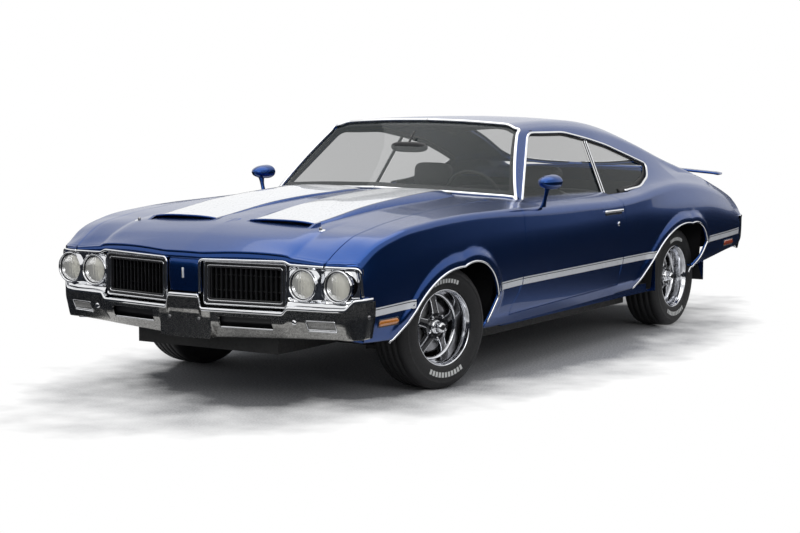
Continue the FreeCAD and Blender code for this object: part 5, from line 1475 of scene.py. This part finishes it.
# Fine cuts across the tread: the two ends of each and its lean.
SIPES = [(66, 88, 0.02), (28, 52, -0.02), (-12, 12, 0.02), (-52, -28, -0.02), (-88, -66, 0.02)]
sipe_points, sipe_faces = [], []
for t in around(90):
    for x0, x1, lean in SIPES:
        base = len(sipe_points)
        for x, tilt in ((x0, 0), (x1, lean)):
            r = float(np.interp(abs(x), [0, 26, 64, 80, 92], [315.2, 315.2, 314.2, 312.8, 309.4]))
            for w in (-0.0045, 0.0045):
                a = t + tilt + w
                sipe_points.append((x, r * math.sin(a), r * math.cos(a)))
        sipe_faces.append([base, base + 1, base + 3, base + 2])
# The cuts are flat deep black strips on the tread; their dark is painted shade inside the cuts.
on_wheels("tread_sipes", sipe_points, sipe_faces, DEEP_BLACK, "tyre_rubber", flat=True)
block_points, block_faces = [], []
for centre, count, r0, r1, width in ((0.0, 9, 229, 250, 0.062), (math.pi, 11, 226, 252, 0.068)):
    for k in range(count):
        t = centre + (k - (count - 1) / 2) * width * 1.42
        base = len(block_points)
        for r in (r0, (r0 + r1) / 2, r1):
            x = float(np.interp(r, [222, 246, 262], [115, 117, 116.5])) + 0.9
            for a in (t - width / 2, t - width / 6, t + width / 6, t + width / 2):
                block_points.append((min(x, 117.4), r * math.sin(a), r * math.cos(a)))
        for i in range(2):
            for j in range(3):
                block_faces.append([base + i * 4 + j, base + i * 4 + 4 + j, base + i * 4 + 5 + j,
                                    base + i * 4 + j + 1])
on_wheels("sidewall_blocks", block_points, [f[::-1] for f in block_faces], WHITE_RUBBER)

# ---------------------------------------------------------------- door furniture, mirrors, markers, wing
def side_point(y, z, out=0.0):
    path, normal = side_path([(y, z)])
    return path[0] + normal[0] * out, normal[0]


handle = [(143, 799), (152, 800), (200, 800), (260, 799), (320, 799), (368, 798), (376, 797)]
path, normal = side_path(resample(handle, 12))
lift = np.concatenate([[1, 9, 15], np.full(len(path) - 6, 17), [15, 9, 1]])[:, None]
sweep("door_handle", path + normal * lift, normal, [(7, -4), (7, 2), (3, 5), (-3, 5), (-7, 2), (-7, -4)],
      CHROME, DOORS)
# A dark strip on the door behind and under the handle is painted shade cast by the handle.
path, normal = side_path(resample([(150, 793), (370, 792)], 12))
sweep("handle_painted_shade", path + normal * 0.6, normal, half_round(15, 1.5), STRIPE_EDGE, DOORS,
      slot="black_trim")
place, normal = side_point(366, 797, 12)
bolt_head("handle_button", place, normal, 9, 5, CHROME, DOORS)
place, normal = side_point(321, 722, 2)
bolt_head("door_lock", place, normal, 13, 4, CHROME, DOORS)

MIRROR_X, MIRROR_Y = 957, DOOR_FRONT[2][0] + 185
MIRROR_Z = 1010
# Distance behind the mirror's middle, half width, half height.
MIRROR_ROWS = [(-34, 1, 1), (-31, 12, 9), (-22, 24, 17), (0, 41, 28), (30, 52, 36), (60, 56, 39),
               (95, 58, 40), (104, 57.5, 39.5), (107, 55, 37), (104, 53, 35)]
shell = []
for t in around(40):
    shell.append([(MIRROR_X + w * math.cos(t), MIRROR_Y + dy, MIRROR_Z + h * math.sin(t))
                  for dy, w, h in MIRROR_ROWS])
grid_piece("mirror_shell", shell, PAINT, DOORS, wrap_i=True,
           nodes=["mirror_left", "mirror_right"])
glass_face = []
for t in around(40):
    glass_face.append([(MIRROR_X + 54 * r * math.cos(t), MIRROR_Y + 103 + (r < 0.9),
                        MIRROR_Z + 36 * r * math.sin(t)) for r in (1.0, 0.94, 0.5, 0.001)])
grid_piece("mirror_glass", glass_face, MIRROR_GLASS, DOORS, wrap_i=True)
stalk = []
for t in np.linspace(0, 1, 12):
    cx = 926 + (958 - 926) * t ** 0.8
    cz = 872 + (985 - 872) * t
    cy = MIRROR_Y + 40 - 4 * math.sin(t * math.pi)
    wide, deep = 15 - 5 * math.sin(t * math.pi), 26 - 12 * math.sin(t * math.pi)
    stalk.append([(cx + wide * math.cos(a), cy + deep * math.sin(a), cz + 4 * math.cos(a))
                  for a in around(16)])
grid_piece("mirror_stalk", stalk, PAINT, DOORS, wrap_j=True,
           turn=True)


def side_marker(name, y0, y1, z0, z1, mat):
    rows = []
    for y in np.linspace(y0, y1, 24):
        inset = 0.5 * (z1 - z0) * (1 - math.sqrt(max(0, 1 - max(0, abs(2 * (y - y0) / (y1 - y0) - 1) - 0.8)
                                                    ** 2 * 24)))
        rows.append([(y, z0 + inset + (z1 - z0 - 2 * inset) * t) for t in (0, 0.2, 0.5, 0.8, 1)])
    path, normal = side_path(np.array(rows).reshape(-1, 2))
    rise = np.tile([0.5, 4.5, 5.5, 4.5, 0.5], 24)[:, None]
    grid_piece(name, (path + normal * rise).reshape(24, 5, 3), mat)
    outline = softened([(y0 - 3, z0 - 3), (y1 + 3, z0 - 3), (y1 + 3, z1 + 3), (y0 - 3, z1 + 3)], 12,
                       closed=True)
    path, normal = side_path(outline)
    sweep(name + "_frame", path, normal, half_round(2.5, 3), STRIPE_EDGE, closed=True,
          slot="black_trim")


side_marker("front_side_marker", at("F", -735), at("F", -575), 402, 432, AMBER)
side_marker("rear_side_marker", at("R", 700), at("R", 880), 461, 493, ORANGE_RED)

wing_keys = [(0, 950), (400, 942), (700, 922), (742, 915)]
wing_rows = []
for x in np.linspace(-742, 742, 90):
    z = float(np.interp(abs(x), [p[0] for p in wing_keys], [p[1] for p in wing_keys]))
    tip = math.sqrt(max(0.02, 1 - max(0, (abs(x) - 722) / 20) ** 2))
    section = [(990, 4), (992, 8), (1004, 12), (1040, 13), (1090, 10), (1109, 7), (1112, 3), (1108, 0),
               (1080, -4), (1030, -7), (1000, -4), (992, 0)]
    wing_rows.append([(x, RA + 1051 + (y - 1051) * tip, z + dz * tip) for y, dz in section])
grid_piece("wing_blade", wing_rows, PAINT, "deck", mirror=False, wrap_j=True,
           nodes=["rear_wing"])
post = []
for t in np.linspace(0, 1, 10):
    z0 = float(top_z(470, RA + 1045)[0]) - 6
    z = z0 + (940 - z0) * t
    post.append([(470 + 9 * math.cos(a), RA + 1048 + (1 - t) * 6 + 40 * math.sin(a) * (0.7 + 0.3 * t), z)
                 for a in around(20)])
grid_piece("wing_post", post, PAINT, "deck", wrap_j=True, turn=True)
PIN_X, PIN_Y = 560, at("F", -710)
pin_z = float(top_z(PIN_X, PIN_Y)[0])
bolt_head("hood_pin_plate", (PIN_X, PIN_Y, pin_z + 1.5), (0, -0.15, 1), 24, 2.5, CHROME, "hood_lid")
bolt_head("hood_pin", (PIN_X, PIN_Y, pin_z + 8), (0, -0.15, 1), 8, 9, STEEL, "hood_lid")


def pillow(name, centre, size, boxy, tilt=0.0, pleats=0, crown=0.0, mirror=True, shape=None):
    """Padded form: a soft block with a crowned top, pleats across x and a lean about its lower edge."""
    rows = []
    for a in np.linspace(-math.pi / 2, math.pi / 2, 30):
        row = []
        for b in around(56):
            ca, sa, cb, sb = math.cos(a), math.sin(a), math.cos(b), math.sin(b)
            x = math.copysign(abs(ca) ** boxy * abs(cb) ** boxy, cb)
            y = math.copysign(abs(ca) ** boxy * abs(sb) ** boxy, sb)
            z = math.copysign(abs(sa) ** boxy, sa)
            if shape:
                x *= shape(z)
            dx, dy, dz = x * size[0] / 2, y * size[1] / 2, z * size[2] / 2
            soft = (1 - x * x) * (1 - y * y)
            if crown:
                dz += crown * soft * (z > 0)
            if pleats:
                dz -= 4.0 * abs(math.sin(x * pleats * math.pi / 2)) ** 8 * (z > 0) * (abs(x) < 0.8)
            if tilt:
                dy, dz = dy * math.cos(tilt) + dz * math.sin(tilt), dz * math.cos(tilt) - dy * math.sin(tilt)
            row.append((centre[0] + dx, centre[1] + dy, centre[2] + dz))
        rows.append(row)
    made = grid_piece(name, rows, VINYL, mirror=mirror, wrap_j=True, turn=True)
    return made


SEAT_X, SEAT_Y = 384, at("F", 1270)
seat = pillow("front_cushion", (SEAT_X, SEAT_Y + 232, 396), (470, 452, 124), pleats=5, crown=6,
              boxy=0.34)
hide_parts("front_seats")
pillow("front_backrest", (SEAT_X, SEAT_Y + 560, 668), (466, 122, 480), tilt=0.20, boxy=0.34,
       shape=lambda z: 1 - 0.07 * (z + 1) / 2)
for k, dx in enumerate((-120, 0, 120)):
    pillow(f"backrest_roll_{k}", (SEAT_X + dx, SEAT_Y + 512, 640), (116, 60, 380), tilt=0.20, boxy=0.5)
pillow("headrest", (SEAT_X, SEAT_Y + 655, 966), (250, 86, 150), tilt=0.12, boxy=0.45)
bench = pillow("rear_cushion", (0, RA - 560, 392), (1150, 440, 116), pleats=9, crown=4, boxy=0.28,
               mirror=False)
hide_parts("rear_seat")
pillow("rear_backrest", (0, RA - 402, 660), (1150, 104, 430), tilt=0.22, boxy=0.28, mirror=False)
for k in range(4):
    pillow(f"rear_roll_{k}", (-420 + 280 * k, RA - 440, 640), (264, 60, 330), tilt=0.22, boxy=0.45,
           mirror=False)

DASH_FRONT = at("F", 818)
dash_rows = []
for x in np.linspace(-712, 712, 60):
    bow = 26 * (x / 712) ** 2
    hood_over = 18 * math.exp(-((abs(x - 380) / 190) ** 4))
    dash_rows.append([(x, DASH_FRONT + 4 + bow, 908), (x, DASH_FRONT + 90 + bow, 912 + hood_over * 0.3),
                      (x, DASH_FRONT + 142, 904 + hood_over * 0.5), (x, DASH_FRONT + 158, 886),
                      (x, DASH_FRONT + 150, 868), (x, DASH_FRONT + 132 - hood_over, 852),
                      (x, DASH_FRONT + 138 - hood_over, 770), (x, DASH_FRONT + 156, 744),
                      (x, DASH_FRONT + 154, 700), (x, DASH_FRONT + 120, 646), (x, DASH_FRONT + 20, 642)])
grid_piece("dash_skin", dash_rows, VINYL, mirror=False, turn=True)
GAUGE_Z = 812
for x, r in ((284, 46), (380, 46), (470, 40)):
    turn = around(40)
    ring = np.stack([x + r * np.cos(turn), np.full(40, DASH_FRONT + 118.0), GAUGE_Z + r * np.sin(turn)],
                    axis=1)
    sweep(f"gauge_{x}", ring, [0, 1, 0], half_round(3, 4), CHROME, closed=True,
          mirror=False)
    face = [[(x + r * q * math.cos(t), DASH_FRONT + 117, GAUGE_Z + r * q * math.sin(t)) for q in (0.01, 1)]
            for t in turn]
    grid_piece(f"gauge_face_{x}", face, SATIN_BLACK, mirror=False, wrap_i=True)

# Steering wheel.
tilt = math.radians(24)
HUB = np.array([380.0, at("F", 1110), 880.0])
WHEEL_U = np.array([1.0, 0, 0])
WHEEL_V = np.array([0, -math.sin(tilt), math.cos(tilt)])
WHEEL_N = np.array([0, math.cos(tilt), math.sin(tilt)])


def hand_wheel(u, v, w):
    return HUB + WHEEL_U * u + WHEEL_V * v + WHEEL_N * w


HAND_RIM_R = 178
rim_rows = []
for t in around(90):
    grip = 10.5 - 0.7 * abs(math.sin(t * 18))
    ring = []
    for a in around(16):
        r = HAND_RIM_R + grip * math.cos(a)
        ring.append(hand_wheel(r * math.cos(t), r * math.sin(t), grip * math.sin(a)))
    rim_rows.append(ring)
grid_piece("hand_wheel_rim", rim_rows, SATIN_BLACK, "hand_wheel", mirror=False,
           wrap_i=True, wrap_j=True, nodes=["steering_wheel"], turn=True)
for k, angle in enumerate((math.radians(-4), math.radians(184), math.radians(270))):
    rows = []
    for r in np.linspace(26, 172, 14):
        wide = 15 - 5 * math.sin((r - 26) / 146 * math.pi)
        c, s = math.cos(angle), math.sin(angle)
        rows.append([hand_wheel(r * c - q * s, r * s + q * c, -6 * (1 - r / 172) * 2 + h)
                     for q, h in ((-wide, -1.5), (-wide, 1.5), (0, 2.4), (wide, 1.5), (wide, -1.5))])
    grid_piece(f"hand_wheel_spoke_{k}", rows, STEEL, "hand_wheel", mirror=False,
               wrap_j=True, turn=True)
BOSS = [(42, -22), (44, -4), (38, 6), (24, 12), (0.1, 14)]
boss = [[hand_wheel(r * math.cos(t), r * math.sin(t), h) for r, h in BOSS]
        for t in around(40)]
grid_piece("hand_wheel_boss", boss, SATIN_BLACK, "hand_wheel", mirror=False,
           wrap_i=True)

# Headliner, door cards and sills, side trims by the rear seat, rear shelf and the mirror on the windshield.
LINER_HALF = 540
liner = []
for y in np.linspace(at("F", 1290), at("R", -380), 40):
    liner.append([(x, y, float(cabin_z(x, y)[0]) - 30 - 14 * (abs(x) / LINER_HALF) ** 4)
                  for x in np.linspace(-LINER_HALF, LINER_HALF, 30)])
grid_piece("headliner", liner, VINYL, mirror=False)
# Height, distance outward from CARD_X; the arm rest is between 600 and 700.
CARD_X = 862.0
CARD = [(372, 8), (380, 0), (520, -6), (600, -14), (640, -34), (668, -38), (684, -18), (760, -10), (850, -14),
        (884, -30), (890, -44)]
card = []
for y in np.linspace(shut_y(DOOR_FRONT, 700, 18), shut_y(DOOR_REAR, 700, -18), 40):
    row = []
    for z, out in CARD:
        row.append((min(CARD_X + out, float(side_x(y, min(z, 860))[0]) - 60), y, z))
    card.append(row)
grid_piece("door_card", card, VINYL, DOORS, turn=True)
belt = []
for y in np.linspace(shut_y(DOOR_FRONT, 900, 6), shut_y(DOOR_REAR, 900, -6), 40):
    zt = float(top_z(820, y)[0])
    belt.append([(802, y, zt - 6), (800, y, zt - 2), (790, y, zt - 6), (788, y, 860), (818, y, 700)])
grid_piece("door_inner_sill", belt, VINYL, DOORS)
REAR_CARD = [(800, 460), (806, 520), (792, 640), (780, 700), (776, 800), (778, 872)]
rear_card = []
for y in np.linspace(shut_y(DOOR_REAR, 800, 8), at("R", -330), 26):
    rear_card.append([(x, y, z) for x, z in REAR_CARD])
grid_piece("rear_side_card", rear_card, VINYL, turn=True)
shelf_rows = [[(x, y, 884 + 6 * math.sin((y - at("R", -330)) / 60)) for x in np.linspace(-720, 720, 12)]
              for y in np.linspace(at("R", -340), at("R", 300), 20)]
grid_piece("parcel_shelf", shelf_rows, CARPET, mirror=False, turn=True)
CABIN_MIRROR_Y, CABIN_MIRROR_Z = -500, 1175
mirror_rows = []
for t in around(36):
    cx = math.copysign(abs(math.cos(t)) ** 0.6, math.cos(t))
    cz = math.copysign(abs(math.sin(t)) ** 0.8, math.sin(t))
    mirror_rows.append([(122 * q * cx, CABIN_MIRROR_Y + dy, CABIN_MIRROR_Z + 30 * q * cz)
                        for dy, q in ((-16, 0.01), (-16, 0.6), (-12, 0.9), (0, 1.0), (8, 0.98))])
grid_piece("cabin_mirror", mirror_rows, SATIN_BLACK, mirror=False, wrap_i=True)
face = [[(118 * q * math.cos(t), CABIN_MIRROR_Y + 9, CABIN_MIRROR_Z + 27 * q * math.sin(t))
         for q in (1, 0.01)] for t in around(36)]
grid_piece("cabin_mirror_glass", face, MIRROR_GLASS, mirror=False, wrap_i=True)
stem = np.array([(0, -502, 1200), (0, -470, 1236), (0, -440, 1262)])
sweep("cabin_mirror_stem", resample(stem, 12), [0, -1, 0], half_round(6, 5), SATIN_BLACK,
      mirror=False)

# ---------------------------------------------------------------- finishes of the hidden solids
NODE_FINISH = {"floor_pan": CARPET, "inner_fenders": DEEP_BLACK, "chassis_frame": CHASSIS, "engine": IRON,
               "rear_axle": CHASSIS, "front_suspension": CHASSIS, "fuel_tank": CHASSIS, "exhaust": STEEL,
               "knuckle_left": STEEL, "knuckle_right": STEEL, "dashboard": VINYL}
for node, mat in NODE_FINISH.items():
    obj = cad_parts[node]
    obj.data.materials.clear()
    obj.data.materials.append(mat)
    painted = [0] * len(obj.data.polygons)
    if node == "floor_pan":
        obj.data.materials.append(PAINT)
        painted = [int(abs(f.center.x) > 0.85 and f.center.z < 0.45) for f in obj.data.polygons]
    obj.data.polygons.foreach_set("material_index", painted)

# ---------------------------------------------------------------- ground, light, camera
def seen_rays(tree):
    """1 for camera, glossy and transmission rays, 0 for the rest."""
    path = tree.nodes.new("ShaderNodeLightPath")
    share = path.outputs["Is Camera Ray"]
    for kind in ("Is Glossy Ray", "Is Transmission Ray"):
        either = tree.nodes.new("ShaderNodeMath")
        either.operation = "MAXIMUM"
        tree.links.new(share, either.inputs[0])
        tree.links.new(path.outputs[kind], either.inputs[1])
        share = either.outputs["Value"]
    return share


def ground():
    half = 30000.0
    count = 61
    xs = np.linspace(-half, half, count)
    points = [(x, y, 0.0) for x in xs for y in xs]
    faces = [[i * count + j, (i + 1) * count + j, (i + 1) * count + j + 1, i * count + j + 1]
             for i in range(count - 1) for j in range(count - 1)]
    mesh = bpy.data.meshes.new("ground")
    mesh.from_pydata((np.array(points) / 1000).tolist(), [], faces)
    mesh.update()
    obj = bpy.data.objects.new("ground", mesh)
    bpy.context.scene.collection.objects.link(obj)
    mat, tree, shader = node_material("gravel_and_painted_shadow")
    shader.inputs["Roughness"].default_value = 0.95
    shader.inputs["Specular IOR Level"].default_value = 0.1
    links, new = tree.links, tree.nodes.new
    stones = object_noise(tree, 90.0, 6.0, 0.7)
    ramp = new("ShaderNodeValToRGB")
    ramp.color_ramp.elements[0].position, ramp.color_ramp.elements[1].position = 0.30, 0.72
    ramp.color_ramp.elements[0].color = (0.20, 0.20, 0.21, 1)
    ramp.color_ramp.elements[1].color = (0.62, 0.62, 0.63, 1)
    links.new(stones.outputs["Fac"], ramp.inputs["Fac"])
    # The gravel patch is an ellipse sized to the car's shadow, fading to plain white beyond it. Its dark is
    # partly gravel colour and partly painted shadow.
    coords = new("ShaderNodeTexCoord")
    place = new("ShaderNodeMapping")
    place.inputs["Scale"].default_value = (1 / 1.30, 1 / 2.85, 1)
    place.inputs["Location"].default_value = (-0.02, 0.06, 0)
    links.new(coords.outputs["Object"], place.inputs["Vector"])
    away = new("ShaderNodeVectorMath")
    away.operation = "LENGTH"
    links.new(place.outputs["Vector"], away.inputs[0])
    edge = object_noise(tree, 2.2, 3.0)
    add = new("ShaderNodeMath")
    add.operation = "MULTIPLY_ADD"
    add.inputs[1].default_value = 0.5
    links.new(edge.outputs["Fac"], add.inputs[0])
    links.new(away.outputs["Value"], add.inputs[2])
    fade = new("ShaderNodeMapRange")
    fade.inputs["From Min"].default_value = 1.02
    fade.inputs["From Max"].default_value = 1.42
    links.new(add.outputs["Value"], fade.inputs["Value"])
    links.new(ramp.outputs["Color"], shader.inputs["Base Color"])
    glow = new("ShaderNodeEmission")
    glow.inputs["Strength"].default_value = 1.0
    share = new("ShaderNodeMath")
    share.operation = "MULTIPLY"
    links.new(fade.outputs["Result"], share.inputs[0])
    links.new(seen_rays(tree), share.inputs[1])
    mix = new("ShaderNodeMixShader")
    links.new(share.outputs["Value"], mix.inputs["Fac"])
    links.new(shader.outputs["BSDF"], mix.inputs[1])
    links.new(glow.outputs["Emission"], mix.inputs[2])
    links.new(mix.outputs["Shader"], tree.nodes["Material Output"].inputs["Surface"])
    mesh.materials.append(mat)


ground()

world = bpy.data.worlds.new("soft_daylight")
bpy.context.scene.world = world
world.use_nodes = True
tree = world.node_tree
daylight = tree.nodes["Background"]
daylight.inputs["Color"].default_value = (0.93, 0.96, 1.0, 1)
daylight.inputs["Strength"].default_value = 0.50
white = tree.nodes.new("ShaderNodeBackground")
white.inputs["Color"].default_value = (1, 1, 1, 1)
white.inputs["Strength"].default_value = 1.0
mix = tree.nodes.new("ShaderNodeMixShader")
tree.links.new(seen_rays(tree), mix.inputs["Fac"])
tree.links.new(daylight.outputs["Background"], mix.inputs[1])
tree.links.new(white.outputs["Background"], mix.inputs[2])
tree.links.new(mix.outputs["Shader"], tree.nodes["World Output"].inputs["Surface"])


def soft_light(name, place, target, size, watts):
    data = bpy.data.lights.new(name, "AREA")
    data.shape = "RECTANGLE"
    data.size, data.size_y = size
    data.energy = watts
    obj = bpy.data.objects.new(name, data)
    obj.location = place
    obj.rotation_euler = (Vector(target) - Vector(place)).to_track_quat("-Z", "Y").to_euler()
    bpy.context.scene.collection.objects.link(obj)


soft_light("overhead_light", (0, 0, 7.0), (0, 0, 0), (9.0, 9.0), 300)
soft_light("side_light", (7.5, -6.5, 5.0), (0, -0.5, 0.6), (5.0, 3.0), 120)

# A ring of dark cloth on the studio floor, with a low rise at its edge. Only glossy rays see it, and it
# hides the pale background from the gloss of paint and chrome.
ring_turns = around(120)
cloth_points, cloth_faces = [], []
for r, z in ((2.9, 0.01), (9.5, 0.02), (10.0, 0.3), (10.2, 1.0), (10.2, 1.5)):
    for t in ring_turns:
        hill = 1 + (0.16 * math.sin(5 * t) + 0.10 * math.sin(11 * t + 1)) * (z > 0.9)
        cloth_points.append(((r - 1.3 * (r < 4)) * math.cos(t), r * 1.1 * math.sin(t), z * hill))
for i in range(4):
    for j in range(120):
        cloth_faces.append([i * 120 + j, i * 120 + (j + 1) % 120, i * 120 + 120 + (j + 1) % 120,
                            i * 120 + 120 + j])
cloth_mesh = bpy.data.meshes.new("dark_cloth")
cloth_mesh.from_pydata(cloth_points, [], cloth_faces)
DARK_CLOTH = finish("dark_cloth", (0.03, 0.033, 0.04), 0.95, vary=0.4, scale=1.5, specular=0.0)
cloth_mesh.materials.append(DARK_CLOTH)
cloth = bpy.data.objects.new("dark_cloth", cloth_mesh)
bpy.context.scene.collection.objects.link(cloth)
cloth.visible_camera = False
cloth.visible_diffuse = False
cloth.visible_transmission = False
cloth.visible_shadow = False

camera_data = bpy.data.cameras.new("camera")
camera = bpy.data.objects.new("camera", camera_data)
bpy.context.scene.collection.objects.link(camera)
camera_data.sensor_width = 36.0
camera_data.lens = 82.26
camera_x, camera_y, camera_z = 5.4846, -9.4364, 1.5718
yaw, pitch, roll = math.radians(31.815), math.radians(5.909), math.radians(0.165)
ahead = Vector((-math.sin(yaw) * math.cos(pitch), math.cos(yaw) * math.cos(pitch), -math.sin(pitch)))
right = ahead.cross(Vector((0, 0, 1))).normalized()
up = right.cross(ahead)
turned_right = right * math.cos(roll) + up * math.sin(roll)
turned_up = up * math.cos(roll) - right * math.sin(roll)
camera.matrix_world = Matrix((
    (turned_right.x, turned_up.x, -ahead.x, camera_x),
    (turned_right.y, turned_up.y, -ahead.y, camera_y),
    (turned_right.z, turned_up.z, -ahead.z, camera_z),
    (0, 0, 0, 1)))
bpy.context.scene.camera = camera
bpy.context.scene.view_settings.view_transform = "Standard"
